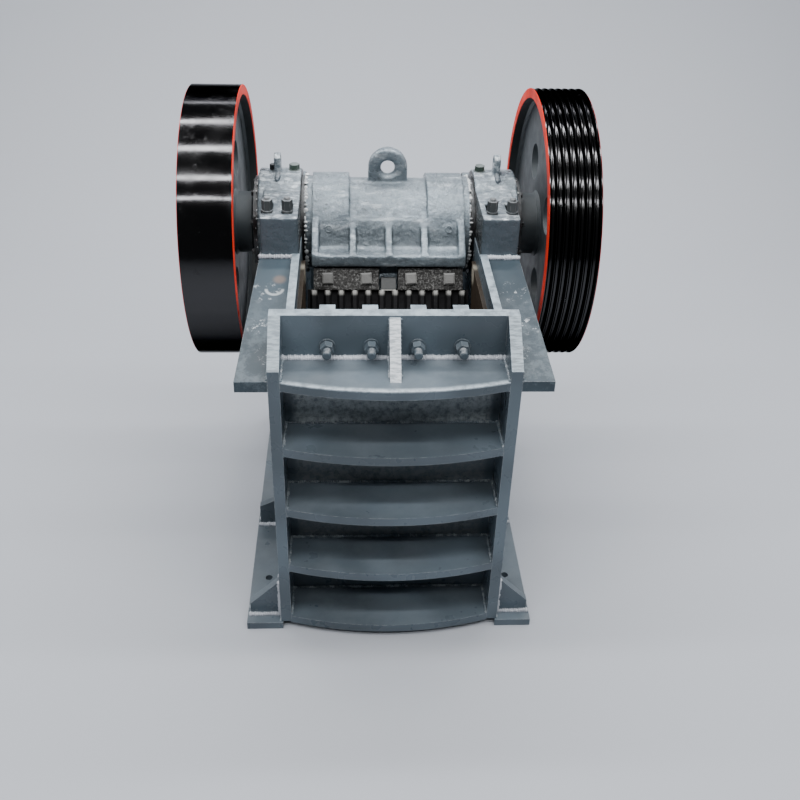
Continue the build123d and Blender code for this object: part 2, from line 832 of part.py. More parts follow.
with BuildPart() as rear_ribs:
    for side in SIDES.values():
        with BuildSketch(side_plane(side * (rear_rib_x - rear_rib_thickness / 2))):
            with BuildLine():
                Polyline(
                    (rear_y, rear_wall_bottom),
                    (rear_y + rear_rib_depth, rear_wall_bottom),
                    (rear_y + rear_rib_depth, rear_wall_top - rear_rib_depth),
                    (rear_y, rear_wall_top),
                    close=True,
                )
            make_face()
        extrude(amount=side * rear_rib_thickness)
save(rear_ribs.part, "rear_ribs")

# Tension rod: an eye round the pin of the moving casting, a long rod, a nut
rod_end_y = rear_y + rod_overhang
nut_start_y = rod_end_y - nut_thickness - rod_past_nut
with BuildPart() as tension_rod:
    with BuildSketch(Plane.XZ.offset(-(rod_front_y + eye_ring_radius - rod_eye_lap))):
        with Locations((0, rod_height)):
            Circle(rod_radius)
    extrude(amount=-(rod_end_y - rod_front_y - eye_ring_radius + rod_eye_lap))
    with BuildSketch(side_plane(-rod_eye_width / 2)):
        with Locations((rod_front_y, rod_height)):
            Circle(eye_ring_radius)
            Circle(rod_eye_hole, mode=Mode.SUBTRACT)
    extrude(amount=rod_eye_width)
    with BuildSketch(Plane.XZ.offset(-nut_start_y)):
        with Locations((0, rod_height)):
            RegularPolygon(nut_flats / 2, 6, major_radius=False)
    extrude(amount=-nut_thickness)
save(tension_rod.part, "tension_rod")

# Spring on the tension rod, between two washers
spring_front_y = rear_y + washer_thickness
spring_rear_y = nut_start_y - washer_thickness
with BuildPart() as spring_washers:
    for start in (rear_y, spring_rear_y):
        with BuildSketch(Plane.XZ.offset(-start)):
            with Locations((0, rod_height)):
                Circle(washer_radius)
                Circle(rod_radius + running_clearance, mode=Mode.SUBTRACT)
        extrude(amount=-washer_thickness)
save(spring_washers.part, "spring_washers")

spring_length = spring_rear_y - spring_front_y - 2 * spring_wire
spring_steps = int(spring_turns * steps_per_turn)
coil_points = []
for number in range(spring_steps + 1):
    turn = 2 * math.pi * number / steps_per_turn
    along = spring_front_y + spring_wire + spring_length * number / spring_steps
    coil_points.append((spring_radius * math.sin(turn), along, rod_height + spring_radius * math.cos(turn)))
with BuildPart() as tension_spring:
    with BuildLine():
        coil = Polyline(*coil_points)
    with BuildSketch(Plane(origin=coil @ 0, z_dir=coil % 0)):
        RegularPolygon(spring_wire, wire_sides)
    sweep(transition=Transition.RIGHT)
save(tension_spring.part, "tension_spring")

# Base plates along both sides
for name, side in SIDES.items():
    with BuildPart() as base_plate:
        with BuildSketch():
            with BuildLine():
                Polyline(
                    (side * (cheek_outer - base_lap), front_y - foot_front_reach),
                    (side * foot_half_width, front_y - foot_front_reach),
                    (side * foot_half_width, rear_y),
                    (side * side_inner, rear_y),
                    (side * side_inner, wall_front_y),
                    (side * (cheek_outer - base_lap), wall_front_y),
                    close=True,
                )
            make_face()
            with Locations((side * anchor_x, 0)):
                with GridLocations(0, frame_length - 2 * anchor_inset, 1, 2):
                    Circle(anchor_radius, mode=Mode.SUBTRACT)
        extrude(amount=base_thickness)
    save(base_plate.part, "base_plate_" + name)

# Gussets that stand on the base plates
gusset_rows = (
    (front_gusset_setback, cheek_outer, front_gusset_rise, front_gusset_lip),
    (middle_gusset_setback, side_outer, rear_gusset_rise, rear_gusset_lip),
    (frame_length - rear_gusset_inset, side_outer, rear_gusset_rise, rear_gusset_lip),
)
for name, side in SIDES.items():
    with BuildPart() as foot_gussets:
        for setback, inner_x, rise, lip in gusset_rows:
            with BuildSketch(Plane.XZ.offset(-(front_y + setback))):
                with BuildLine():
                    Polyline(
                        (side * inner_x, base_thickness),
                        (side * (foot_half_width - gusset_inset), base_thickness),
                        (side * (foot_half_width - gusset_inset), base_thickness + lip),
                        (side * inner_x, base_thickness + rise),
                        close=True,
                    )
                make_face()
            extrude(amount=-foot_gusset_thickness)
    save(foot_gussets.part, "foot_gussets_" + name)

# Upright ribs on the side plates, under the bearing seats
rib_top = seat_height - seat_thickness
for name, side in SIDES.items():
    with BuildPart() as side_ribs:
        with BuildSketch(Plane.XY.offset(base_thickness)):
            with Locations((side * (side_outer + side_rib_depth / 2), shaft_y)):
                with GridLocations(0, 2 * side_rib_half, 1, 2):
                    Rectangle(side_rib_depth, side_rib_thickness)
        extrude(amount=rib_top - base_thickness)
    save(side_ribs.part, "side_ribs_" + name)
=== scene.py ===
# %% [markdown]
# # A jaw crusher, dressed for its photograph
#
# The crusher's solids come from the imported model. This lesson gives them paint, cast skin,
# weld beads, bolts and wear. Each step says what the real piece is, how it could be made in
# Blender, and why one way was picked.

import json
import math

import bmesh
import bpy
from mathutils import Matrix, Vector


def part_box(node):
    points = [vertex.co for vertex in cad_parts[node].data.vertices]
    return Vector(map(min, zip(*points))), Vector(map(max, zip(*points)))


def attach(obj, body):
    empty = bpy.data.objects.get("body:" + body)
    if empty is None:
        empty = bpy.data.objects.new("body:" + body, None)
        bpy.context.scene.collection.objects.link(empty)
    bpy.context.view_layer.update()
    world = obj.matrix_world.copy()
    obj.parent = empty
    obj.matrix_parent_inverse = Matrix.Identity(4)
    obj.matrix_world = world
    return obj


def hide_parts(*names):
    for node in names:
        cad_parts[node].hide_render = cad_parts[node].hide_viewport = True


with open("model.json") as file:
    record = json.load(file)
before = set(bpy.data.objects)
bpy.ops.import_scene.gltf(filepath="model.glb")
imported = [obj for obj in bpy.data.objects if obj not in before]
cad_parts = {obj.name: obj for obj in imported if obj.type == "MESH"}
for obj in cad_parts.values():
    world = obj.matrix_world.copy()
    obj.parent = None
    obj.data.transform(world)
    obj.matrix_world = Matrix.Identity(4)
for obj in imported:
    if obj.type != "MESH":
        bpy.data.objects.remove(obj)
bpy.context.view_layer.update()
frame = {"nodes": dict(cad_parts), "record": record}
NODES = frame["nodes"]
SCENE = bpy.context.scene
SIDES = {"left": -1, "right": 1}
print("pieces in the packed model:", len(NODES))

# %% [markdown]
# ## The camera
#
# A photograph fixes where its camera stood, which way it looked, how it was rolled and how long
# its lens was. These were found by matching edges of the crusher to their pixels, and they are
# written down here, so that the render can be laid over the photograph.

# %% Place the camera
CAMERA_PLACE = Vector((-0.1373, -3.2662, 2.7120))
CAMERA_TURN = math.radians(3.416)
CAMERA_DOWN = math.radians(33.679)
CAMERA_ROLL = math.radians(1.734)
PHOTO_WIDTH = 800
FOCAL_PIXELS = 969.9
SENSOR_WIDTH = 36


def camera_matrix():
    """The camera's place and directions as one matrix."""
    forward = Vector(
        (
            math.sin(CAMERA_TURN) * math.cos(CAMERA_DOWN),
            math.cos(CAMERA_TURN) * math.cos(CAMERA_DOWN),
            -math.sin(CAMERA_DOWN),
        )
    )
    level = Vector((math.cos(CAMERA_TURN), -math.sin(CAMERA_TURN), 0))
    upright = level.cross(forward)
    right = level * math.cos(CAMERA_ROLL) + upright * math.sin(CAMERA_ROLL)
    up = upright * math.cos(CAMERA_ROLL) - level * math.sin(CAMERA_ROLL)
    turn = Matrix((right, up, -forward)).transposed().to_4x4()
    return Matrix.Translation(CAMERA_PLACE) @ turn


camera_data = bpy.data.cameras.new("photo_camera")
camera_data.sensor_width = SENSOR_WIDTH
camera_data.lens = SENSOR_WIDTH * FOCAL_PIXELS / PHOTO_WIDTH
camera = bpy.data.objects.new("photo_camera", camera_data)
camera.matrix_world = camera_matrix()
SCENE.collection.objects.link(camera)
SCENE.camera = camera
print("lens in millimetres:", round(camera_data.lens, 2))

# %% [markdown]
# ## Helpers for node trees
#
# A material in Blender is a tree of nodes. Written by hand, every node takes three lines: make
# it, set its sockets, link it. The small helper below does this in one call, so that the trees
# further down can be read from top to bottom like a recipe. The Geometry Nodes trees use it too.


# %% Node tree helpers
def add_node(tree, kind, settings=None, **sockets):
    """A node of that kind, with settings on it and values or links on its sockets."""
    made = tree.nodes.new(kind)
    for key, value in (settings or {}).items():
        setattr(made, key, value)
    for key, value in sockets.items():
        by_number = key[0] == "i" and key[1:].isdigit()
        socket = made.inputs[int(key[1:])] if by_number else made.inputs[key.replace("_", " ")]
        if isinstance(value, bpy.types.NodeSocket):
            tree.links.new(value, socket)
        else:
            socket.default_value = value
    return made


def new_group(name, inputs, outputs):
    """An empty shader group with named sockets, given as (name, kind, start value)."""
    tree = bpy.data.node_groups.new(name, "ShaderNodeTree")
    for label, kind, value in inputs:
        socket = tree.interface.new_socket(label, in_out="INPUT", socket_type=kind)
        socket.default_value = value
    for label, kind in outputs:
        tree.interface.new_socket(label, in_out="OUTPUT", socket_type=kind)
    return tree, tree.nodes.new("NodeGroupInput").outputs, tree.nodes.new("NodeGroupOutput").inputs


def new_material(name):
    """A material, its tree and its shader."""
    material = bpy.data.materials.new(name)
    material.use_nodes = True
    return material, material.node_tree, material.node_tree.nodes["Principled BSDF"]


def set_shader(material, **values):
    """Plain values on the sockets of a material's shader."""
    for key, value in values.items():
        shader = material.node_tree.nodes["Principled BSDF"]
        shader.inputs[key.replace("_", " ")].default_value = value


# %% [markdown]
# Arithmetic on masks is most of what a shader tree does. These helpers make one node each, and
# give back its socket, so that sums can be written inside one another.


# %% Arithmetic in shader trees
def maths(tree, operation, first, second=0.0, clamp=False):
    """One step of arithmetic on numbers or sockets."""
    settings = {"operation": operation, "use_clamp": clamp}
    return add_node(tree, "ShaderNodeMath", settings, i0=first, i1=second).outputs[0]


def times(tree, *values):
    """The product of two or more numbers or sockets."""
    product = values[0]
    for value in values[1:]:
        product = maths(tree, "MULTIPLY", product, value)
    return product


def vector_maths(tree, operation, first, second):
    """One step on vectors; a dot product and a distance give a number."""
    step = add_node(tree, "ShaderNodeVectorMath", {"operation": operation}, i0=first, i1=second)
    return step.outputs["Value" if operation in ("DOT_PRODUCT", "DISTANCE") else "Vector"]


def parts_of(tree, vector):
    """The X, Y and Z of a vector."""
    return add_node(tree, "ShaderNodeSeparateXYZ", {}, i0=vector).outputs


def blend_colours(tree, amount, first, second):
    """first where amount is 0, second where it is 1."""
    mixer = add_node(tree, "ShaderNodeMix", {"data_type": "RGBA"}, i0=amount, i6=first, i7=second)
    return mixer.outputs[2]


def squeeze(tree, value, low, high, to_low=0.0, to_high=1.0):
    """Maps low..high to new limits with a soft start and end."""
    settings = {"interpolation_type": "SMOOTHSTEP"}
    limits = {"i1": low, "i2": high, "i3": to_low, "i4": to_high}
    return add_node(tree, "ShaderNodeMapRange", settings, i0=value, **limits).outputs[0]


def noise(tree, place, scale, detail=4.0, rough=0.55):
    """A noise pattern's value at a place."""
    values = {"Vector": place, "Scale": scale, "Detail": detail, "Roughness": rough}
    return add_node(tree, "ShaderNodeTexNoise", {}, **values).outputs[0]


def object_place(tree):
    """Where the shaded point is, in the piece's own metres."""
    return add_node(tree, "ShaderNodeTexCoord").outputs["Object"]


def true_normal(tree):
    """The direction in which the shaded face looks."""
    return add_node(tree, "ShaderNodeNewGeometry").outputs["True Normal"]


# %% [markdown]
# ## Wear, dust and skin
#
# Nearly every surface of the crusher shows the same three effects: paint rubbed thin along
# edges, pale dust on what faces up, and patches where the coat is thicker. They could be
# painted by hand, but a shader group does it once for all. The edge mask compares the true
# normal with one that a Bevel node has rounded: they differ only near an edge. The dust mask
# reads how much the surface faces up, and a noise breaks both masks up so that no edge is
# evenly worn.

# %% The wear group
BEVEL_SAMPLES = 4
DRIFT_SCALE = 5.0
BLOTCH_SCALE = 3.0
wear, wear_in, wear_out = new_group(
    "wear and dust",
    [
        ("Edge Size", "NodeSocketFloat", 0.004),
        ("Edge Wear", "NodeSocketFloat", 0.6),
        ("Dust", "NodeSocketFloat", 0.4),
        ("Grain Scale", "NodeSocketFloat", 60.0),
        ("Seed", "NodeSocketFloat", 0.0),
    ],
    [("Edges", "NodeSocketFloat"), ("Dust", "NodeSocketFloat"), ("Blotches", "NodeSocketFloat")],
)
seed_shift = add_node(wear, "ShaderNodeCombineXYZ", {}, X=wear_in["Seed"], Y=wear_in["Seed"])
worn_place = vector_maths(wear, "ADD", object_place(wear), seed_shift.outputs[0])
face_normal = true_normal(wear)
bevel = add_node(wear, "ShaderNodeBevel", {"samples": BEVEL_SAMPLES}, Radius=wear_in["Edge Size"])
likeness = vector_maths(wear, "DOT_PRODUCT", face_normal, bevel.outputs[0])
edge_line = squeeze(wear, likeness, 0.97, 0.80)
chips = squeeze(wear, noise(wear, worn_place, wear_in["Grain Scale"]), 0.38, 0.62)
edge_amount = times(wear, edge_line, chips)
wear.links.new(maths(wear, "MULTIPLY", edge_amount, wear_in["Edge Wear"], True), wear_out["Edges"])
facing_up = parts_of(wear, face_normal)["Z"]
drift = squeeze(wear, noise(wear, worn_place, DRIFT_SCALE, 8.0, 0.65), 0.36, 0.66, 0.35, 1.0)
dust_fall = times(wear, squeeze(wear, facing_up, 0.2, 0.9), drift)
wear.links.new(maths(wear, "MULTIPLY", dust_fall, wear_in["Dust"], True), wear_out["Dust"])
wear.links.new(noise(wear, worn_place, BLOTCH_SCALE, 2.0, 0.5), wear_out["Blotches"])
print("shader group:", wear.name, "with", len(wear.nodes), "nodes")

# %% [markdown]
# ## Paint
#
# The frame is sprayed with a slate blue-grey enamel. Sprayed paint isn't one colour: it is
# thicker in one place than in another, it carries a fine orange-peel skin, and dust sticks to
# it. The function below makes such a paint with its own colour, gloss and amount of wear, so
# the frame, the castings and the wheels share one recipe. A grain adds the lumps of a casting.

# %% A function for paints
DUST_COLOUR = (0.36, 0.40, 0.43, 1)
BARE_COLOUR = (0.42, 0.43, 0.44, 1)
DEEP_SHARE, LIGHT_SHARE = 0.72, 1.22
EDGE_SIZE = 0.004
CHIP_SCALE = 55.0
GLOSS_SCALE = 14.0
PEEL_SCALE, LUMP_SCALE, SWELL_SCALE = 420.0, 75.0, 17.0
SMOOTH_BUMP, ROUGH_BUMP = 0.5, 0.65
SKIN_DEPTH = 0.002


def paint(name, colour, rough, edge_wear, dust, bare=BARE_COLOUR, peel=0.12, grain=0.0, seed=0.0):
    """A sprayed paint over steel: colour, roughness, wear along edges, dust and skin."""
    material, tree, shader = new_material(name)
    masks = add_node(
        tree,
        "ShaderNodeGroup",
        {"node_tree": wear},
        Edge_Size=EDGE_SIZE,
        Edge_Wear=edge_wear,
        Dust=dust,
        Grain_Scale=CHIP_SCALE,
        Seed=seed,
    ).outputs
    place = object_place(tree)
    deep = [part * DEEP_SHARE for part in colour[:3]] + [1]
    light = [min(1, part * LIGHT_SHARE) for part in colour[:3]] + [1]
    tone = blend_colours(tree, squeeze(tree, masks["Blotches"], 0.35, 0.68), deep, light)
    dusty = blend_colours(tree, masks["Dust"], tone, DUST_COLOUR)
    worn = blend_colours(tree, masks["Edges"], dusty, bare)
    tree.links.new(worn, shader.inputs["Base Color"])
    gloss = noise(tree, place, GLOSS_SCALE, 2.5)
    spread = squeeze(tree, gloss, 0.3, 0.7, rough - 0.06, rough + 0.08)
    matt = maths(tree, "ADD", spread, times(tree, masks["Dust"], 0.35), True)
    tree.links.new(matt, shader.inputs["Roughness"])
    height = times(tree, noise(tree, place, PEEL_SCALE, 2.0), peel)
    if grain:
        lumps = noise(tree, place, LUMP_SCALE, 9.0, 0.75)
        height = maths(tree, "ADD", height, times(tree, lumps, grain))
        swells = noise(tree, place, SWELL_SCALE, 4.0, 0.6)
        height = maths(tree, "ADD", height, times(tree, swells, grain * 2.2))
    strength = ROUGH_BUMP if grain else SMOOTH_BUMP
    bump = add_node(tree, "ShaderNodeBump", {}, Strength=strength, Distance=SKIN_DEPTH, Height=height)
    tree.links.new(bump.outputs[0], shader.inputs["Normal"])
    return material


# %% [markdown]
# Single marks, such as a rubbed edge or a dark hollow, are laid over a paint afterwards. Each
# is a colour with a mask, and the mask is a spot, a box or a noise in the piece's own metres.


# %% Marks on a paint
def overlay(material, mask, colour):
    """Blends a colour over what the material already shows, where the mask is 1."""
    tree = material.node_tree
    shader = tree.nodes["Principled BSDF"]
    under = shader.inputs["Base Color"].links[0].from_socket
    tree.links.new(blend_colours(tree, mask, under, colour), shader.inputs["Base Color"])


def spot(tree, centre, inner, outer):
    """1 within the inner radius of a point on the piece, fading to 0 at the outer one."""
    return squeeze(tree, vector_maths(tree, "DISTANCE", object_place(tree), centre), outer, inner)


def inside(tree, low, high, soft=0.0015):
    """1 within a box that is mirrored in X, fading to 0 across its faces."""
    across, along, up = parts_of(tree, object_place(tree))
    masks = []
    for value, bottom, top in zip((maths(tree, "ABSOLUTE", across), along, up), low, high):
        masks.append(squeeze(tree, value, bottom - soft, bottom + soft))
        masks.append(squeeze(tree, value, top + soft, top - soft))
    return times(tree, *masks)


def stretched(tree, along, scale, detail=6.0):
    """A noise pattern that is drawn out by a different amount in each direction."""
    return noise(tree, vector_maths(tree, "MULTIPLY", object_place(tree), along), scale, detail, 0.65)


# %% [markdown]
# ## The frame's slate paint
#
# The front edge of the top rib carries a painted highlight, a pale line where its rounded edge catches
# the light. That edge is an arc, so the mask measures how far a point lies behind the arc, and a noise
# breaks the pale line up. It could be painted by hand on a picture, but a mask from the rib's own sizes
# stays sharp at any distance.

# %% Slate paint
RIB_EDGE_Y = -0.720
RIB_BULGE = 0.054
RIB_HALF = 0.362
RIB_TOP_Z = 1.077
RIB_EDGE_HIGHLIGHT = (0.42, 0.49, 0.54, 1)
slate_paint = paint("slate frame paint", (0.078, 0.105, 0.129, 1), 0.30, 0.55, 0.18)
slate_tree = slate_paint.node_tree
slate_place = object_place(slate_tree)
slate_across, slate_along = parts_of(slate_tree, slate_place)[:2]
squared = maths(slate_tree, "POWER", maths(slate_tree, "DIVIDE", slate_across, RIB_HALF), 2.0)
arc = times(slate_tree, maths(slate_tree, "SUBTRACT", 1.0, squared), RIB_BULGE)
behind_arc = maths(slate_tree, "ADD", maths(slate_tree, "SUBTRACT", slate_along, RIB_EDGE_Y), arc)
top_rib_low = (-1, -0.8, RIB_TOP_Z - 0.004)
top_rib_high = (RIB_HALF, -0.6, RIB_TOP_Z + 0.004)
# painted highlight: a pale, broken line along the top rib's rounded front edge
highlight_noise = squeeze(slate_tree, noise(slate_tree, slate_place, 40.0, 6.0, 0.7), 0.35, 0.6, 0.35, 0.9)
rib_highlight_mask = times(
    slate_tree,
    squeeze(slate_tree, behind_arc, 0.026, 0.006),
    inside(slate_tree, top_rib_low, top_rib_high),
    highlight_noise,
)
overlay(slate_paint, rib_highlight_mask, RIB_EDGE_HIGHLIGHT)
print("slate paint:", len(slate_tree.nodes), "nodes")

# %% [markdown]
# The wall, its gusset, the cheeks and the side plates have nearly the same paint. Faces that look up are
# painted pale, partly worn bare and partly a painted sheen from the lamps above, and the gusset's edge
# is a nearly white painted highlight. The wall between the upper ribs carries pale mottles that are
# partly its own texture and partly painted light lifting its shade, less from bay to bay downwards.

# %% Frame paint with bright edges
PALE_SHEEN_AND_WEAR = (0.31, 0.38, 0.43, 1)
GUSSET_HIGHLIGHT = (0.66, 0.70, 0.74, 1)
HOUSING_FRONT_Y = -0.118
BAY_PAINTED_LIGHT = ((0.822, 1.045, 0.50), (0.567, 0.79, 0.21), (0.312, 0.535, 0.17))
edge_paint = paint("frame paint with bright edges", (0.082, 0.111, 0.136, 1), 0.30, 0.55, 0.18, seed=2.0)
edge_tree = edge_paint.node_tree
# painted sheen and wear: faces that look up are made paler
sheen_wash = squeeze(edge_tree, stretched(edge_tree, (1, 1, 9), 26.0, 8.0), 0.38, 0.60, 0.25, 1.0)
sheen_and_wear_up = times(
    edge_tree,
    squeeze(edge_tree, parts_of(edge_tree, true_normal(edge_tree))["Z"], 0.25, 0.45),
    sheen_wash,
    inside(edge_tree, (-1, -1, 0), (1, HOUSING_FRONT_Y, 2)),
)
overlay(edge_paint, sheen_and_wear_up, PALE_SHEEN_AND_WEAR)
# painted highlight: the gusset's sloped edge is nearly white
on_gusset = inside(edge_tree, (-1, -0.73, 1.05), (0.02, -0.575, 1.3))
overlay(edge_paint, times(edge_tree, sheen_and_wear_up, on_gusset), GUSSET_HIGHLIGHT)
# painted light: pale mottles, partly the wall's own texture, lift the shade in the bays between the ribs
light_clouds = noise(edge_tree, object_place(edge_tree), 42.0, 8.0, 0.75)
bay_light = squeeze(edge_tree, light_clouds, 0.36, 0.60, 0.25, 1.0)
for low, high, pale in BAY_PAINTED_LIGHT:
    on_wall = inside(edge_tree, (-1, -0.7, low), (0.33, -0.45, high), 0.015)
    overlay(edge_paint, times(edge_tree, bay_light, on_wall, 0.9), (pale, pale * 1.1, pale * 1.15, 1))
print("frame paint with bright edges:", len(edge_tree.nodes), "nodes")

# %% [markdown]
# ## The castings' paint
#
# The castings are sprayed as well, over a rough sand skin. Pits stay dark, pale spots are painted glints
# where the lamps catch the lumps, the caps' tops carry stretched painted highlights, and pale streaks
# and dark mottles run level across the round backs. Each is a noise pattern, and the level ones are
# drawn out along X. One noise for all would look like cloth.

# %% Casting paint
CAST_PALE = (0.60, 0.66, 0.70, 1)
CAST_GREY = (0.20, 0.245, 0.28, 1)
cast_paint = paint("sprayed casting", CAST_GREY, 0.25, 0.5, 0.12, peel=0.3, grain=3.2, seed=3.0)
set_shader(cast_paint, Metallic=0.4)
cast_tree = cast_paint.node_tree
cast_place = object_place(cast_tree)
pits = squeeze(cast_tree, noise(cast_tree, cast_place, 60.0, 10.0, 0.8), 0.47, 0.36)
overlay(cast_paint, times(cast_tree, pits, 0.75), (0.085, 0.10, 0.11, 1))
# painted glints: pale spots where the lamps would catch the lumps
glint_spots = squeeze(cast_tree, noise(cast_tree, cast_place, 85.0, 9.0, 0.8), 0.55, 0.68)
overlay(cast_paint, times(cast_tree, glint_spots, 0.7), (0.58, 0.63, 0.66, 1))
# painted highlight: stretched pale patches on the caps' tops
cap_glints = squeeze(cast_tree, stretched(cast_tree, (0.6, 1, 1), 44.0, 8.0), 0.50, 0.60)
on_caps = inside(cast_tree, (0.325, -0.2, 1.365), (0.5, 0.5, 1.6))
overlay(cast_paint, times(cast_tree, cap_glints, on_caps, 0.8), CAST_PALE)
streaks = squeeze(cast_tree, stretched(cast_tree, (0.3, 1, 1), 38.0, 8.0), 0.54, 0.64)
overlay(cast_paint, times(cast_tree, streaks, 0.45), CAST_PALE)
mottles = squeeze(cast_tree, stretched(cast_tree, (0.35, 1, 1), 30.0, 7.0), 0.49, 0.62)
overlay(cast_paint, times(cast_tree, mottles, 0.6), (0.10, 0.13, 0.155, 1))
print("casting paint:", len(cast_tree.nodes), "nodes")

# %% [markdown]
# Painted shade lies between the ribs on the jaw's leaning front, stronger towards the bottom of the
# panels. The mask is worked out from the panel's own plane: a dot product says how far a point stands
# out of it, and only what lies close to the plane is dark. The gap beside the housings and the slots get
# painted shade too, and the blocks' fronts a darker paint; all three are boxes.

# %% Dark places on the castings
PANEL_LEAN = math.radians(27)
PANEL_OUT = Vector((0, -math.cos(PANEL_LEAN), math.sin(PANEL_LEAN)))
PANEL_POINT = (0, 0.0868, 1.2777)
# The first box is painted shade on the housings' inner end faces beside the jaw, the second the blocks'
# darker front paint, the third painted shade inside the shelf slots.
SHADE_AND_PAINT_BOXES = (
    ((0.312, -1, 0), (0.3245, 1, 2), (0.012, 0.012, 0.012, 1)),
    ((0.31, -0.2, 1), (0.5, -0.1155, 1.362), (0.11, 0.14, 0.165, 1)),
    ((0.34, -0.082, 1.32), (0.452, 0.028, 1.361), (0.035, 0.042, 0.045, 1)),
)
from_panel = vector_maths(cast_tree, "SUBTRACT", cast_place, PANEL_POINT)
proud = vector_maths(cast_tree, "DOT_PRODUCT", from_panel, PANEL_OUT)
# painted shade between the jaw's ribs, stronger towards the bottom of the panels
panel_shade = times(
    cast_tree,
    squeeze(cast_tree, proud, 0.013, 0.006),
    squeeze(cast_tree, parts_of(cast_tree, cast_place)["Z"], 1.29, 1.225),
    inside(cast_tree, (-1, -0.05, 1.19), (0.284, 0.12, 1.35)),
    0.8,
)
overlay(cast_paint, panel_shade, (0.065, 0.082, 0.094, 1))
for low, high, colour in SHADE_AND_PAINT_BOXES:
    overlay(cast_paint, inside(cast_tree, low, high), colour)
for side in SIDES.values():
    # painted shade: a black spot for the inside of a drilled hole on each housing
    hole_shade = spot(cast_tree, (side * 0.466, 0.276, 1.392), 0.005, 0.009)
    overlay(cast_paint, hole_shade, (0.02, 0.02, 0.02, 1))
black_paint = paint("black seal paint", (0.012, 0.012, 0.013, 1), 0.25, 0.3, 0.15, seed=5.0)
bare_steel = paint("turned steel", (0.35, 0.35, 0.35, 1), 0.35, 0.4, 0.2, seed=7.0)
set_shader(bare_steel, Metallic=0.9)
print("paints:", [m.name for m in (slate_paint, cast_paint, black_paint, bare_steel)])

# %% [markdown]
# ## Jaw plates
#
# The toothed plates are cast in hard manganese steel. New ones are black, and the moving plate's tooth
# ends carry a bright painted highlight. The clamps are rough gravelly steel, and the liners beside the
# plates have rusted.


# %% The jaw steel
def jaw_material(name, colour, seed):
    """Rough cast steel, dark in the roots and bright on worn edges."""
    worn = (0.4, 0.4, 0.4, 1)
    material = paint(name, colour, 0.6, 0.06, 0.03, bare=worn, peel=0.5, grain=1.6, seed=seed)
    set_shader(material, IOR=1.22)
    return material


PLATE_BLACK = (0.011, 0.011, 0.012, 1)
RUST_EDGE = (0.30, 0.24, 0.17, 1)
jaw_steel = jaw_material("jaw plate steel", PLATE_BLACK, 11.0)
raw_steel = jaw_material("raw clamp steel", (0.042, 0.041, 0.040, 1), 13.0)
raw_tree = raw_steel.node_tree
gravel = squeeze(raw_tree, noise(raw_tree, object_place(raw_tree), 130.0, 6.0, 0.8), 0.50, 0.60)
overlay(raw_steel, times(raw_tree, gravel, 0.8), (0.23, 0.23, 0.225, 1))
head_steel = jaw_material("bolt head steel", (0.20, 0.20, 0.195, 1), 14.0)
liner_colour = (0.030, 0.022, 0.015, 1)
liner_steel = paint("rusty liner", liner_colour, 0.75, 0.3, 0.05, bare=RUST_EDGE, grain=1.2, seed=15.0)
set_shader(liner_steel, IOR=1.2)
liner_tree = liner_steel.node_tree
for name, side in SIDES.items():
    liner_low, liner_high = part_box("chamber_liner_" + name)
    corner = (side * 0.31, liner_high.y - 0.05, liner_high.z - 0.03)
    pale_blob = times(liner_tree, spot(liner_tree, corner, 0.02, 0.045), 0.8)
    overlay(liner_steel, pale_blob, (0.42, 0.39, 0.32, 1))
    print("liner", name, tuple(liner_low), tuple(liner_high))

# %% [markdown]
# The upper ends of the moving plate's teeth carry a painted highlight, pale where they catch the light
# under the clamps. The mask is worked out from the plate's own plane: how far a point lies behind the
# tips, and how far up the plate it is.

# %% Bright ends on the moving teeth
JAW_LEAN = math.atan2(0.3678, 0.849)
JAW_FRONT = Vector((0, -math.cos(JAW_LEAN), math.sin(JAW_LEAN)))
JAW_UP = Vector((0, math.sin(JAW_LEAN), math.cos(JAW_LEAN)))
JAW_FOOT = Vector((0, -0.382, 0.290))
CLAMP_HEIGHT = 0.084
JAW_LENGTH = 0.841 / math.cos(JAW_LEAN) - CLAMP_HEIGHT


def along_jaw(tree, direction):
    """How far the shaded point is from the foot of the jaw in one direction."""
    from_foot = vector_maths(tree, "SUBTRACT", object_place(tree), JAW_FOOT)
    return vector_maths(tree, "DOT_PRODUCT", from_foot, direction)


moving_steel = jaw_material("moving jaw steel", PLATE_BLACK, 12.0)
moving_tree = moving_steel.node_tree
outwards = along_jaw(moving_tree, JAW_FRONT)
upwards = along_jaw(moving_tree, JAW_UP)
# painted highlight on the upper ends of the moving plate's teeth
tooth_tip_highlight = times(
    moving_tree,
    squeeze(moving_tree, outwards, -0.024, -0.010),
    squeeze(moving_tree, upwards, JAW_LENGTH - 0.022, JAW_LENGTH - 0.006),
    squeeze(moving_tree, upwards, JAW_LENGTH + 0.004, JAW_LENGTH + 0.002),
)
overlay(moving_steel, tooth_tip_highlight, (0.44, 0.44, 0.42, 1))
block_face = squeeze(moving_tree, upwards, JAW_LENGTH + 0.004, JAW_LENGTH + 0.006)
overlay(moving_steel, times(moving_tree, block_face, 0.8), (0.14, 0.145, 0.145, 1))
print("the moving plate's length in metres:", round(JAW_LENGTH, 3))

# %% [markdown]
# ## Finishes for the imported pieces
#
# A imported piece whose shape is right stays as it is, and only gets a better material. The
# record names a slot for each piece, so most finishes follow from that, and a few pieces get
# one of their own.

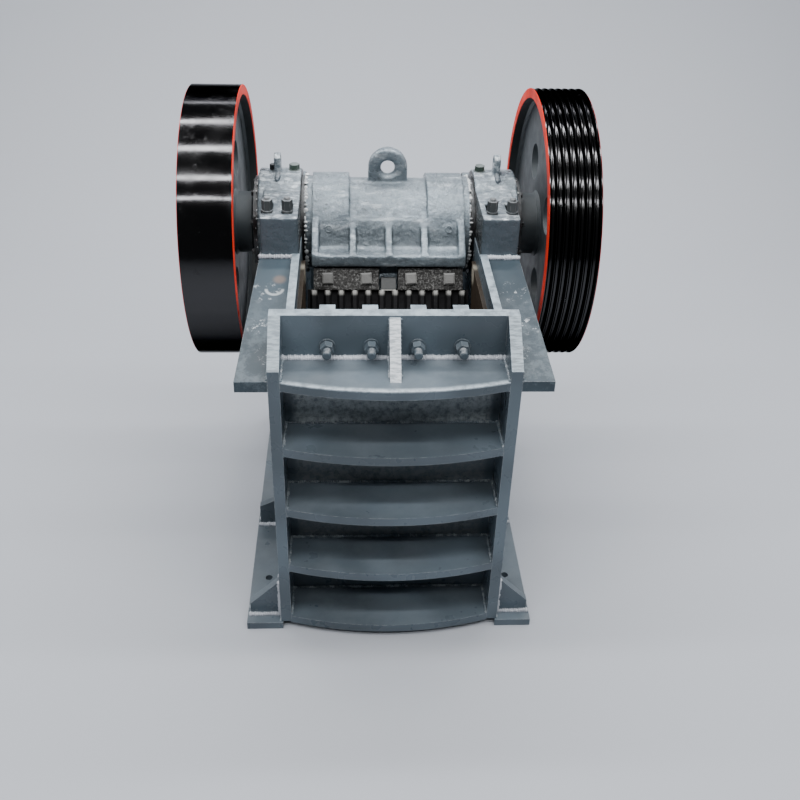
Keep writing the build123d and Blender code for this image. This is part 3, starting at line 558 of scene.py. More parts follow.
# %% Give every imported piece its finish
SHAFT = Vector((0, 0.257, 1.191))
FINISHES = {
    "slate_paint": slate_paint,
    "cast_paint": cast_paint,
    "dark_paint": black_paint,
    "jaw_steel": jaw_steel,
    "bare_steel": bare_steel,
    "wheel_paint": black_paint,
}
OWN_FINISHES = {
    "jaw_clamp_left": raw_steel,
    "jaw_clamp_right": raw_steel,
    "jaw_hold_downs": edge_paint,
    "front_wall": edge_paint,
    "wall_gusset": edge_paint,
    "front_cheek_left": edge_paint,
    "front_cheek_right": edge_paint,
    "side_plate_left": edge_paint,
    "side_plate_right": edge_paint,
    "moving_jaw_plate": moving_steel,
    "chamber_liner_left": liner_steel,
    "chamber_liner_right": liner_steel,
    "pitman_seal_left": cast_paint,
    "pitman_seal_right": cast_paint,
}
SLOT_OF = {entry["node"]: entry["material_slot"] for entry in frame["record"]["subparts"]}
for name, piece in NODES.items():
    piece.data.materials.clear()
    piece.data.materials.append(OWN_FINISHES.get(name, FINISHES[SLOT_OF[name]]))
print("finishes:", sorted({piece.data.materials[0].name for piece in NODES.values()}))

# %% [markdown]
# ## Marks on the wings
#
# The flat wings are what a fitter steps on. Both carry pale scuffs, and the left one the scar
# of a bracket that was cut off, a curved weld with a little rust. They are spots in the paint,
# placed in the piece's own metres, so they stay where they are from every side.

# %% Scuffs and a scar
WING_LOW, WING_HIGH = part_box("wing_right")
WING_THICKNESS = 0.038
SCUFFS = ((0.43, -0.30, 0.07), (0.45, -0.47, 0.05), (0.38, -0.60, 0.08))


def wing_top(y):
    """The height of a wing's upper face."""
    low_top = WING_LOW.z + WING_THICKNESS
    return low_top + (y - WING_LOW.y) * (WING_HIGH.z - low_top) / (WING_HIGH.y - WING_LOW.y)


def scar(material):
    """The front half of a weld ring, and a rusty spot behind it."""
    tree = material.node_tree
    centre = (-0.40, -0.29, wing_top(-0.29))
    ring = maths(tree, "SUBTRACT", spot(tree, centre, 0.030, 0.036), spot(tree, centre, 0.020, 0.026))
    front_half = squeeze(tree, parts_of(tree, object_place(tree))["Y"], -0.285, -0.295)
    overlay(material, maths(tree, "MULTIPLY", ring, front_half, True), (0.36, 0.40, 0.42, 1))
    rust = times(tree, spot(tree, (-0.385, -0.24, wing_top(-0.24)), 0.01, 0.03), 0.5)
    overlay(material, rust, (0.24, 0.17, 0.13, 1))


def wing_paint(side, seed):
    """Frame paint with this wing's own marks."""
    colour = (0.045, 0.066, 0.083, 1)
    material = paint("wing paint " + str(seed), colour, 0.33, 0.6, 0.02, seed=float(seed))
    set_shader(material, IOR=1.33)
    tree = material.node_tree
    place = object_place(tree)
    patches = squeeze(tree, noise(tree, place, 16.0, 9.0, 0.75), 0.44, 0.62, 0.0, 0.45)
    towards_front = squeeze(tree, parts_of(tree, place)["Y"], -0.25, -0.50)
    overlay(material, times(tree, patches, towards_front), (0.14, 0.175, 0.20, 1))
    rubbed = squeeze(tree, noise(tree, place, 30.0, 9.0, 0.8), 0.55, 0.62)
    for x, y, size in SCUFFS:
        near = spot(tree, (side * x, y, wing_top(y)), size * 0.4, size)
        overlay(material, times(tree, near, rubbed), (0.50, 0.54, 0.57, 1))
    return material


left_paint = wing_paint(SIDES["left"], 31)
scar(left_paint)
NODES["wing_left"].data.materials[0] = left_paint
NODES["wing_right"].data.materials[0] = wing_paint(SIDES["right"], 32)
print("height of the wing's top at its front:", round(wing_top(WING_LOW.y), 3))

# %% [markdown]
# ## Mesh helpers
#
# Pieces that are made here sit at the origin with their place in the mesh, as the packed
# pieces do. `settle` gives such a mesh its finish and hangs it on the body it moves with.


# %% Mesh helpers
def settle(name, mesh, material, body, smooth=40):
    """Makes the mesh a piece: its finish, its shading and the body it rides on."""
    mesh.name = name
    piece = bpy.data.objects.new(name, mesh)
    SCENE.collection.objects.link(piece)
    if material is not None:
        mesh.materials.clear()
        mesh.materials.append(material)
        mesh.polygons.foreach_set("material_index", [0] * len(mesh.polygons))
    mesh.polygons.foreach_set("use_smooth", [True] * len(mesh.polygons))
    if smooth is not None:
        mesh.set_sharp_from_angle(angle=math.radians(smooth))
    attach(piece, body)
    print(name, "triangles:", sum(len(face.vertices) - 2 for face in mesh.polygons))
    return piece


def mesh_of(name, work):
    """A plain mesh of what was built in bmesh."""
    mesh = bpy.data.meshes.new(name)
    work.to_mesh(mesh)
    work.free()
    return mesh


def copy_of(node):
    """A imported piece's mesh with its loose triangles joined up."""
    work = bmesh.new()
    work.from_mesh(NODES[node].data)
    bmesh.ops.remove_doubles(work, verts=work.verts, dist=0.00002)
    return mesh_of(node + "_copy", work)


def template_of(name, work):
    """A shape for a tree to copy. It is removed once its copies are made."""
    template = bpy.data.objects.new(name, mesh_of(name, work))
    SCENE.collection.objects.link(template)
    return template


def evaluated(piece):
    """What the piece looks like with its modifiers, as a plain mesh; the piece is removed."""
    bpy.context.view_layer.update()
    graph = bpy.context.evaluated_depsgraph_get()
    mesh = bpy.data.meshes.new_from_object(piece.evaluated_get(graph), depsgraph=graph)
    bpy.data.objects.remove(piece)
    return mesh


# %% [markdown]
# ## Geometry Nodes helpers
#
# What repeats is made by Geometry Nodes: a tree takes points or a line and puts a small shape
# on each. The trees are built in the script, so their inputs have names and can be read. Each
# ends by making its copies real geometry, because an export leaves mere instances out.


# %% Geometry tree helpers
def new_geometry_tree(name, inputs):
    """A geometry tree with a Geometry input and output and the named inputs."""
    tree = bpy.data.node_groups.new(name, "GeometryNodeTree")
    tree.interface.new_socket("Geometry", in_out="INPUT", socket_type="NodeSocketGeometry")
    for label, kind, value in inputs:
        socket = tree.interface.new_socket(label, in_out="INPUT", socket_type=kind)
        if value is not None:
            socket.default_value = value
    tree.interface.new_socket("Geometry", in_out="OUTPUT", socket_type="NodeSocketGeometry")
    return tree, tree.nodes.new("NodeGroupInput").outputs, tree.nodes.new("NodeGroupOutput").inputs


def end_tree(tree, shape, material, outputs):
    """Ends a tree: instances become real geometry, which takes its material."""
    real = add_node(tree, "GeometryNodeRealizeInstances", {}, i0=shape)
    done = add_node(tree, "GeometryNodeSetMaterial", {}, i0=real.outputs[0], Material=material)
    tree.links.new(done.outputs[0], outputs["Geometry"])


def random_vector(tree, low, high, seed):
    """A vector for each point, drawn between two others."""
    settings = {"data_type": "FLOAT_VECTOR"}
    return add_node(tree, "FunctionNodeRandomValue", settings, i0=low, i1=high, Seed=seed).outputs[0]


def scaled(tree, vector, size):
    """A vector times a number."""
    settings = {"operation": "SCALE"}
    return add_node(tree, "ShaderNodeVectorMath", settings, i0=vector, Scale=size).outputs[0]


def grow(tree, base, values):
    """The plain mesh that the tree makes of a base mesh with these input values."""
    carrier = bpy.data.objects.new("carrier", base)
    SCENE.collection.objects.link(carrier)
    modifier = carrier.modifiers.new("grow", "NODES")
    modifier.node_group = tree
    keys = {item.name: item.identifier for item in tree.interface.items_tree if item.in_out == "INPUT"}
    for label, value in values.items():
        modifier[keys[label]] = value
    return evaluated(carrier)


def point_mesh(points):
    """A mesh of loose points."""
    mesh = bpy.data.meshes.new("points")
    mesh.from_pydata([tuple(p) for p in points], [], [])
    return mesh


def line_mesh(lines):
    """A mesh of open lines, each a list of points."""
    points, edges = [], []
    for line in lines:
        first = len(points)
        points += [tuple(p) for p in line]
        edges += [(first + i, first + i + 1) for i in range(len(line) - 1)]
    mesh = bpy.data.meshes.new("lines")
    mesh.from_pydata(points, edges, [])
    return mesh


# %% [markdown]
# ## Weld beads
#
# A weld is a row of small frozen puddles, each lapping over the last. A bevelled curve would
# be too smooth for that. The tree walks along each seam, sets a flattened ball every few
# millimetres, turns it along the seam and makes each a little different in size.

# %% The weld tree
PUDDLE_SEGMENTS, PUDDLE_RINGS = 7, 4
NUDGE = 0.0008
weld_tree, weld_in, weld_out = new_geometry_tree(
    "weld bead",
    [
        ("Step", "NodeSocketFloat", 0.006),
        ("Radius", "NodeSocketFloat", 0.007),
        ("Seed", "NodeSocketInt", 1),
        ("Material", "NodeSocketMaterial", None),
    ],
)
seam = add_node(weld_tree, "GeometryNodeMeshToCurve", {}, i0=weld_in["Geometry"]).outputs[0]
by_length = {"mode": "LENGTH"}
steps = add_node(weld_tree, "GeometryNodeResampleCurve", by_length, Curve=seam, Length=weld_in["Step"])
puddle = add_node(
    weld_tree,
    "GeometryNodeMeshUVSphere",
    {},
    Segments=PUDDLE_SEGMENTS,
    Rings=PUDDLE_RINGS,
    Radius=1.0,
)
tangent = add_node(weld_tree, "GeometryNodeInputTangent").outputs[0]
along = add_node(weld_tree, "FunctionNodeAlignRotationToVector", {"axis": "Z"}, Vector=tangent)
wide = random_vector(weld_tree, (0.75, 0.75, 0.6), (1.25, 1.25, 0.9), weld_in["Seed"])
nudge = random_vector(weld_tree, (-NUDGE, -NUDGE, -NUDGE), (NUDGE, NUDGE, NUDGE), weld_in["Seed"])
shaken = add_node(weld_tree, "GeometryNodeSetPosition", {}, i0=steps.outputs[0], Offset=nudge)
beads = add_node(
    weld_tree,
    "GeometryNodeInstanceOnPoints",
    {},
    Points=shaken.outputs[0],
    Instance=puddle.outputs[0],
    Rotation=along.outputs[0],
    Scale=scaled(weld_tree, wide, weld_in["Radius"]),
)
end_tree(weld_tree, beads.outputs[0], weld_in["Material"], weld_out)
print("weld tree:", len(weld_tree.nodes), "nodes")

# %% [markdown]
# Most seams are thin and painted over. The ones behind the wings, at the gussets' feet and
# along the foot of the front wall are heavy and bright. The seams' ends come from the packed
# pieces' own boxes, so each bead lies in the corner that it closes.

# %% Paints and places of the seams
weld_paint = paint("bright weld", (0.56, 0.59, 0.65, 1), 0.25, 0.2, 0.5, peel=0.4, seed=17.0)
dull_weld = paint("painted weld", (0.125, 0.16, 0.19, 1), 0.28, 0.2, 0.3, peel=0.4, seed=18.0)
dull_tree = dull_weld.node_tree
weld_wash = squeeze(dull_tree, noise(dull_tree, object_place(dull_tree), 34.0, 5.0, 0.7), 0.50, 0.60)
overlay(dull_weld, times(dull_tree, weld_wash, 0.6), (0.50, 0.54, 0.57, 1))
RIB_TOPS = [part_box(f"front_rib_{n}")[1].z for n in range(1, 6)]
RIB_LOWS = [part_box(f"front_rib_{n}")[0].z for n in range(1, 6)]
WALL_LOW, WALL_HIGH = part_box("front_wall")
CHEEK_LOW, CHEEK_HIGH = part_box("front_cheek_right")
WALL_FRONT = WALL_LOW.y
BAY_HALF = WALL_HIGH.x
RIB_FRONT = CHEEK_LOW.y
SIDE_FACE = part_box("side_plate_right")[1].x
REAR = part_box("side_plate_right")[1].y
BASE_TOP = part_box("base_plate_right")[1].z
GUSSET_FRONTS = (RIB_FRONT + 0.040, RIB_FRONT + 0.545, REAR - 0.070)
SIDE_RIB_EDGES = (-0.03, 0.0, 0.544 - 0.03, 0.544)
SIDE_RIB_TOP = 1.185
SIDE_THICKNESS = 0.026
REAR_SEAM = (0.122, 0.798)
WALL_GUSSET_TOP = 1.22
FOOT_EDGE = 0.516
SEAT_EDGE = 0.459
print("front wall:", tuple(WALL_LOW), tuple(WALL_HIGH), "rib tops:", RIB_TOPS)


# %% Lines of the seams
def rib_seams():
    """Each front rib's seams on the wall and on the cheeks, above and below."""
    lines = []
    for top, low in zip(RIB_TOPS, RIB_LOWS):
        for z in (top + 0.002, low - 0.002):
            lines.append([(-BAY_HALF, WALL_FRONT - 0.002, z), (BAY_HALF, WALL_FRONT - 0.002, z)])
            for side in SIDES.values():
                x = side * (BAY_HALF - 0.002)
                lines.append([(x, RIB_FRONT + 0.006, z), (x, WALL_FRONT, z)])
    return lines


def side_seams(side):
    """The thin seams of one side: wing, gusset, base plate, side ribs and rear wall."""
    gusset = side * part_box("wall_gusset")[1].x
    outer = side * (CHEEK_HIGH.x + 0.001)
    strip = side * (SIDE_FACE + 0.001)
    edge = side * (SIDE_FACE - SIDE_THICKNESS)
    wall_back = WALL_HIGH.y
    wing_back = wing_top(wall_back) + 0.001
    foot = RIB_TOPS[0] + 0.001
    lines = [
        [(outer, RIB_FRONT + 0.01, wing_top(RIB_FRONT) + 0.003), (outer, wall_back, wing_back)],
        [(strip, wall_back, wing_back), (strip, WING_HIGH.y, WING_HIGH.z + 0.001)],
        [(gusset, WALL_FRONT - 0.12, foot), (gusset, WALL_FRONT, foot)],
        [(gusset, WALL_FRONT - 0.001, foot), (gusset, WALL_FRONT - 0.001, WALL_GUSSET_TOP)],
        [(outer, RIB_FRONT + 0.004, BASE_TOP), (outer, wall_back, BASE_TOP)],
        [(strip, wall_back, BASE_TOP), (strip, REAR, BASE_TOP)],
    ]
    lines += [[(strip, y, BASE_TOP), (strip, y, SIDE_RIB_TOP)] for y in SIDE_RIB_EDGES]
    lines.append([(edge, REAR + 0.001, z) for z in REAR_SEAM])
    return lines


def heavy_seams(side):
    """The heavy beads of one side, behind the wing and at the gussets' feet."""
    y, z = WING_HIGH.y - 0.004, WING_HIGH.z + 0.003
    lines = [[(side * (SIDE_FACE + 0.004), y, z), (side * SEAT_EDGE, y, z)]]
    for front, inner in zip(GUSSET_FRONTS, (CHEEK_HIGH.x, SIDE_FACE, SIDE_FACE)):
        near, beside = side * (inner + 0.004), side * (inner + 0.003)
        for y in (front - 0.004, front + 0.034):
            lines.append([(near, y, BASE_TOP + 0.003), (side * FOOT_EDGE, y, BASE_TOP + 0.003)])
            lines.append([(beside, y, BASE_TOP), (beside, y, BASE_TOP + 0.16)])
    return lines


# %% Lay the beads
WALL_FOOT = RIB_TOPS[0] + 0.003
thin_lines = rib_seams() + side_seams(-1) + side_seams(1)
fat_lines = heavy_seams(-1) + heavy_seams(1)
wall_lines = [[(x, WALL_FRONT - 0.003, WALL_FOOT) for x in (-BAY_HALF, BAY_HALF)]]
for name, lines, radius, pace, seed, material in (
    ("thin", thin_lines, 0.0058, 1.25, 4, dull_weld),
    ("fat", fat_lines, 0.0100, 0.80, 9, weld_paint),
    ("wall", wall_lines, 0.0115, 0.60, 6, weld_paint),
):
    values = {"Step": radius * pace, "Radius": radius, "Seed": seed, "Material": material}
    weld_mesh = grow(weld_tree, line_mesh(lines), values)
    settle(name + "_weld_beads", weld_mesh, material, "frame", smooth=None)

# %% [markdown]
# ## Bolts
#
# A nut is a six-sided bar with its corners turned off, on a round washer, with the stud's end
# standing through it. One template is made with mesh code, and a tree copies it to every place
# with its own small turn, because no fitter lines nuts up.


# %% A nut on a stud
def lathe(work, profile, sides, turn=0.0):
    """Adds a closed shape of revolution round Z from (radius, height) pairs."""
    rings = []
    for radius, height in profile:
        ring = []
        for step in range(sides):
            angle = 2 * math.pi * step / sides + turn
            ring.append(work.verts.new((radius * math.cos(angle), radius * math.sin(angle), height)))
        rings.append(ring)
    for lower, upper in zip(rings, rings[1:]):
        for step in range(sides):
            after = (step + 1) % sides
            work.faces.new((lower[step], lower[after], upper[after], upper[step]))
    work.faces.new(list(reversed(rings[0])))
    work.faces.new(rings[-1])


def washer_profile(radius, thick):
    """A round washer's outline, its edges a little rounded."""
    return [(radius - 0.0005, 0), (radius, thick * 0.3), (radius, thick * 0.8), (radius - 0.0006, thick)]


def nut_profile(corner, edge, low, high):
    """A nut's or a bolt head's outline through its corners, chamfered at both ends."""
    inset = edge * 0.6
    return [(corner - edge, low), (corner, low + inset), (corner, high - inset), (corner - edge, high)]


def thread_profile(stud, low, out):
    """A threaded stud's outline above a nut, crest after crest."""
    pitch = stud * 0.24
    profile = [(stud * 0.9, low - 0.001)]
    z = low
    while z < low + out - pitch:
        profile += [(stud * 0.88, z), (stud, z + pitch * 0.5)]
        z += pitch
    return profile + [(stud * 0.86, z), (stud * 0.7, z + pitch * 0.4)]


def nut_template(name, flats, height, washer=0.0, stud=0.0, stud_out=0.0, sides=6):
    """A washer, a chamfered nut and a threaded stud end, standing along Z."""
    work = bmesh.new()
    corner = flats / 2 / math.cos(math.pi / sides)
    rise = 0.0
    if washer:
        rise = height * 0.16
        lathe(work, washer_profile(washer, rise), 28)
    edge = (corner - flats / 2) * 0.9
    lathe(work, nut_profile(corner, edge, rise, rise + height), sides, math.pi / sides)
    if stud_out:
        lathe(work, thread_profile(stud, rise + height, stud_out), 16)
    bmesh.ops.recalc_face_normals(work, faces=work.faces)
    return template_of(name, work)


# %% The bolt tree
bolt_tree, bolt_in, bolt_out = new_geometry_tree(
    "bolts on points",
    [
        ("Template", "NodeSocketObject", None),
        ("Direction", "NodeSocketVector", (0, 0, 1)),
        ("Turn", "NodeSocketFloat", 1.0),
        ("Seed", "NodeSocketInt", 1),
        ("Material", "NodeSocketMaterial", None),
    ],
)
as_made = {"transform_space": "ORIGINAL"}
info = add_node(bolt_tree, "GeometryNodeObjectInfo", as_made, Object=bolt_in["Template"])
along_z = {"axis": "Z"}
stand = add_node(bolt_tree, "FunctionNodeAlignRotationToVector", along_z, Vector=bolt_in["Direction"])
spin = add_node(
    bolt_tree,
    "FunctionNodeRandomValue",
    {"data_type": "FLOAT"},
    i2=0.0,
    i3=bolt_in["Turn"],
    Seed=bolt_in["Seed"],
)
spin_axis = add_node(bolt_tree, "ShaderNodeCombineXYZ", {}, Z=spin.outputs[1])
spin_turn = add_node(bolt_tree, "FunctionNodeEulerToRotation", {}, i0=spin_axis.outputs[0])
turned = add_node(
    bolt_tree,
    "FunctionNodeRotateRotation",
    {"rotation_space": "LOCAL"},
    i0=stand.outputs[0],
    i1=spin_turn.outputs[0],
)
placed = add_node(
    bolt_tree,
    "GeometryNodeInstanceOnPoints",
    {},
    Points=bolt_in["Geometry"],
    Instance=info.outputs["Geometry"],
    Rotation=turned.outputs[0],
)
end_tree(bolt_tree, placed.outputs[0], bolt_in["Material"], bolt_out)
print("bolt tree:", len(bolt_tree.nodes), "nodes")


def bolts(name, template, places, direction, material, body, slot, turn=1.0, seed=2):
    """Copies of a bolt template on these places, all pointing one way."""
    values = {
        "Template": template,
        "Direction": direction,
        "Turn": turn,
        "Seed": seed,
        "Material": material,
    }
    mesh = grow(bolt_tree, point_mesh(places), values)
    return settle(name, mesh, material, body, smooth=28)


# %% Nuts on the front wall
WALL_BOLTS = (-0.216, -0.074, 0.075, 0.220)
WALL_BOLT_Z = 1.124
wall_nut = nut_template("wall_nut", 0.040, 0.030, washer=0.027, stud=0.014, stud_out=0.036)
wall_places = [(x, WALL_FRONT, WALL_BOLT_Z) for x in WALL_BOLTS]
bolts("wall_nuts", wall_nut, wall_places, (0, -1, 0), slate_paint, "frame", "slate_paint")
bpy.data.objects.remove(wall_nut)

# %% [markdown]
# ## Castings
#
# The swinging jaw, the bearing housings and the clamps are sand castings: every inner corner
# is rounded and the skin is slightly lumpy. Bevelling each edge of a CAD solid by hand would
# take hours. A voxel remesh turns the solid into an even skin, a few smoothing passes round
# the corners as a foundry pattern does, a displacement adds the lumps, and a decimation takes
# away the triangles that flat places don't need.


# %% Sand cast skin
SMOOTH_PASSES = 2


def cast_skin(node, body, material, voxel, lump, lump_size, share):
    """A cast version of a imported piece, which it replaces."""
    piece = bpy.data.objects.new(node + "_casting", copy_of(node))
    SCENE.collection.objects.link(piece)
    remesh = piece.modifiers.new("skin", "REMESH")
    remesh.mode = "VOXEL"
    remesh.voxel_size = voxel
    soften = piece.modifiers.new("soften", "SMOOTH")
    soften.factor = 0.6
    soften.iterations = SMOOTH_PASSES
    cloud = bpy.data.textures.new(node + "_lumps", "CLOUDS")
    cloud.noise_scale = lump_size
    cloud.noise_depth = 3
    push = piece.modifiers.new("lumps", "DISPLACE")
    push.texture = cloud
    push.texture_coords = "LOCAL"
    push.strength = lump
    push.mid_level = 0.6
    thin = piece.modifiers.new("thin", "DECIMATE")
    thin.ratio = share
    casting = settle(node + "_casting", evaluated(piece), material, body, smooth=None)
    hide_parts(node)


cast_skin("pitman", "swing_jaw", cast_paint, 0.0044, 0.0022, 0.022, 0.3)
for side in SIDES:
    cast_skin("bearing_housing_" + side, "frame", cast_paint, 0.0045, 0.0022, 0.025, 0.5)
    cast_skin("jaw_clamp_" + side, "swing_jaw", raw_steel, 0.0035, 0.006, 0.012, 0.6)

# %% [markdown]
# ## Marks the foundry left
#
# Two small raised rings sit on the jaw's front, where the foundry closed its core holes, and a
# short bead holds each lifting lug to its bearing cap. The ring is a template like the nuts, and
# the same tree copies it; the beads come from the weld tree.


# %% Core marks and lug beads
def ring_template(name, reach, thick, segments=28, sides=8):
    """A small round ring that lies flat, as a template."""
    work = bmesh.new()
    rows = []
    for step in range(segments):
        angle = 2 * math.pi * step / segments
        row = []
        for part in range(sides):
            bend = 2 * math.pi * part / sides
            far = reach + thick * math.cos(bend)
            place = (far * math.cos(angle), far * math.sin(angle), thick * math.sin(bend))
            row.append(work.verts.new(place))
        rows.append(row)
    for step in range(segments):
        first, second = rows[step], rows[(step + 1) % segments]
        for part in range(sides):
            after = (part + 1) % sides
            work.faces.new((first[part], second[part], second[after], first[after]))
    return template_of(name, work)


CORE_MARKS = [(-0.221, 0.0702, 1.2455), (0.225, 0.0702, 1.2455)]
LUG_X = 0.4115
LUG_BEAD_REACH = 0.2065
core_ring = ring_template("core_ring", 0.012, 0.0032)
bolts("core_marks", core_ring, CORE_MARKS, PANEL_OUT, cast_paint, "swing_jaw", "cast_paint")
bpy.data.objects.remove(core_ring)
lug_lines = []
for side in SIDES.values():
    bead = []
    for degrees in range(97, 111, 2):
        angle = math.radians(degrees)
        y = SHAFT.y + LUG_BEAD_REACH * math.cos(angle)
        bead.append((side * LUG_X, y, SHAFT.z + LUG_BEAD_REACH * math.sin(angle)))
    lug_lines.append(bead)
lug_values = {"Step": 0.006, "Radius": 0.0105, "Seed": 21, "Material": slate_paint}
lug_mesh = grow(weld_tree, line_mesh(lug_lines), lug_values)
settle("lug_beads", lug_mesh, slate_paint, "frame", smooth=None)

# %% [markdown]
# ## Wheels
#
# A wheel is a shape of revolution: a rim, a web with round holes and a hub. The rim and the hub
# are turned round the shaft like work in a lathe, and each stretch of the outline takes its own
# finish, so the red ring ends exactly at the rim's edge. The web is a filled outline with round
# holes: Geometry Nodes fill a big circle and leave the small ones open, then give the sheet its
# thickness.
#
# The treads are gloss black. Seen at a low angle, a plain black paint turns grey, because every
# gloss coat mirrors more there. A very dark metal with a dark tint for its edges stays black.

# %% Gloss black treads
gloss_black, black_tree, black_shader = new_material("gloss black tread")
set_shader(gloss_black, Metallic=1.0, Specular_Tint=(0.15, 0.15, 0.15, 1))
TREAD_BLACK = (0.050, 0.050, 0.052, 1)
TREAD_DIRT = (0.20, 0.21, 0.22, 1)
black_place = object_place(black_tree)
specks = squeeze(black_tree, noise(black_tree, black_place, 110.0, 4.0, 0.7), 0.60, 0.70)
scuffs = squeeze(black_tree, noise(black_tree, black_place, 14.0, 10.0, 0.75), 0.56, 0.70)
dirt = maths(black_tree, "MULTIPLY", specks, scuffs, True)
dirty_black = blend_colours(black_tree, dirt, TREAD_BLACK, TREAD_DIRT)
black_tree.links.new(dirty_black, black_shader.inputs["Base Color"])
black_gloss = squeeze(black_tree, noise(black_tree, black_place, 8.0, 8.0), 0.35, 0.7, 0.09, 0.17)
smears = squeeze(black_tree, noise(black_tree, black_place, 11.0, 10.0, 0.8), 0.56, 0.66)
matt_spots = maths(black_tree, "ADD", times(black_tree, dirt, 0.5), times(black_tree, smears, 0.16))
worn_gloss = maths(black_tree, "ADD", black_gloss, matt_spots, True)
black_tree.links.new(worn_gloss, black_shader.inputs["Roughness"])
waves = noise(black_tree, black_place, 22.0, 5.0)
ripple = add_node(black_tree, "ShaderNodeBump", {}, Strength=0.12, Distance=SKIN_DEPTH, Height=waves)
black_tree.links.new(ripple.outputs[0], black_shader.inputs["Normal"])
print("tread:", len(black_tree.nodes), "nodes")

# %% Paints of the rim and the web
BARE_BLACK = (0.02, 0.02, 0.02, 1)
rim_red = paint("red rim side", (0.78, 0.040, 0.020, 1), 0.45, 0.25, 0.0, bare=BARE_BLACK, seed=21.0)
set_shader(rim_red, IOR=1.12)
rim_inside = paint("charcoal rim inside", (0.022, 0.027, 0.029, 1), 0.6, 0.2, 0.05, seed=22.0)
web_grey = paint("grey wheel web", (0.038, 0.047, 0.053, 1), 0.5, 0.3, 0.1, seed=23.0)
print("wheel paints:", [m.name for m in (rim_red, rim_inside, web_grey)])

# %% The web's tree
web_tree, web_in, web_out = new_geometry_tree(
    "web with holes",
    [
        ("Outer Radius", "NodeSocketFloat", 0.472),
        ("Bore Radius", "NodeSocketFloat", 0.09),
        ("Hole Radius", "NodeSocketFloat", 0.069),
        ("Hole Circle", "NodeSocketFloat", 0.24),
        ("Holes", "NodeSocketInt", 4),
        ("First Hole", "NodeSocketFloat", 0.0),
        ("Thickness", "NodeSocketFloat", 0.04),
        ("Material", "NodeSocketMaterial", None),
    ],
)


def round_line(tree, radius, points):
    """A circle as a curve."""
    return add_node(tree, "GeometryNodeCurvePrimitiveCircle", {}, Resolution=points, Radius=radius)


outline = round_line(web_tree, web_in["Outer Radius"], 160)
bore_line = round_line(web_tree, web_in["Bore Radius"], 48)
hole_line = round_line(web_tree, web_in["Hole Radius"], 48)
ring_line = add_node(
    web_tree,
    "GeometryNodeMeshCircle",
    {},
    Vertices=web_in["Holes"],
    Radius=web_in["Hole Circle"],
)
turn_axis = add_node(web_tree, "ShaderNodeCombineXYZ", {}, Z=web_in["First Hole"])
hole_places = add_node(
    web_tree,
    "GeometryNodeTransform",
    {},
    i0=ring_line.outputs[0],
    Rotation=turn_axis.outputs[0],
)
hole_copies = add_node(
    web_tree,
    "GeometryNodeInstanceOnPoints",
    {},
    Points=hole_places.outputs[0],
    Instance=hole_line.outputs[0],
)
hole_lines = add_node(web_tree, "GeometryNodeRealizeInstances", {}, i0=hole_copies.outputs[0])
all_lines = web_tree.nodes.new("GeometryNodeJoinGeometry")
for part in (outline, bore_line, hole_lines):
    web_tree.links.new(part.outputs[0], all_lines.inputs[0])
sheet = add_node(web_tree, "GeometryNodeFillCurve", {"mode": "NGONS"}, i0=all_lines.outputs[0])
thick = add_node(
    web_tree,
    "GeometryNodeExtrudeMesh",
    {},
    Mesh=sheet.outputs[0],
    Offset=(0, 0, 1),
    Offset_Scale=web_in["Thickness"],
    Individual=False,
)
turned_sheet = add_node(web_tree, "GeometryNodeFlipFaces", {}, i0=sheet.outputs[0])
both = web_tree.nodes.new("GeometryNodeJoinGeometry")
web_tree.links.new(turned_sheet.outputs[0], both.inputs[0])
web_tree.links.new(thick.outputs[0], both.inputs[0])
welded = add_node(web_tree, "GeometryNodeMergeByDistance", {}, i0=both.outputs[0], Distance=0.0001)
end_tree(web_tree, welded.outputs[0], web_in["Material"], web_out)
print("web tree:", len(web_tree.nodes), "nodes")

# %% [markdown]
# The outlines below are half sections: how far across the wheel, how far from the shaft, and
# which finish the stretch after that point takes. The pulley's tread has seven grooves for
# belts, the flywheel's has none.

# %% Outlines of the rim and the hub
WHEEL_LOW, WHEEL_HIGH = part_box("grooved_pulley")
WHEEL_INNER = 0.536
WHEEL_OUTER = WHEEL_HIGH.x
RIM_IN = 0.470
RIM_OUT = (WHEEL_HIGH.z - WHEEL_LOW.z) / 2
RIM_EDGE = 0.0018
WEB_START = WHEEL_INNER + 0.044
WEB_THICK = 0.040
WEB_HOLE_RADIUS, WEB_HOLE_CIRCLE, WEB_HOLES = 0.069, 0.24, 4
HUB_START, HUB_END = 0.508, WHEEL_OUTER - 0.010
HUB_BORE, HUB_REACH = 0.07505, 0.115
GROOVES, GROOVE_PITCH = 7, 0.0255
GROOVE_HALF = ((-0.0118, 0), (-0.0105, 0.0012), (-0.0050, 0.0182), (-0.0035, 0.0190))
TREAD, SIDE_RED, GREY, INSIDE = 0, 1, 2, 3


def groove_points(middle):
    """One groove: down one flank, across the bottom and up the other."""
    down = [(middle + across, RIM_OUT - depth, TREAD) for across, depth in GROOVE_HALF]
    up = [(middle - across, RIM_OUT - depth, TREAD) for across, depth in reversed(GROOVE_HALF)]
    return down + up


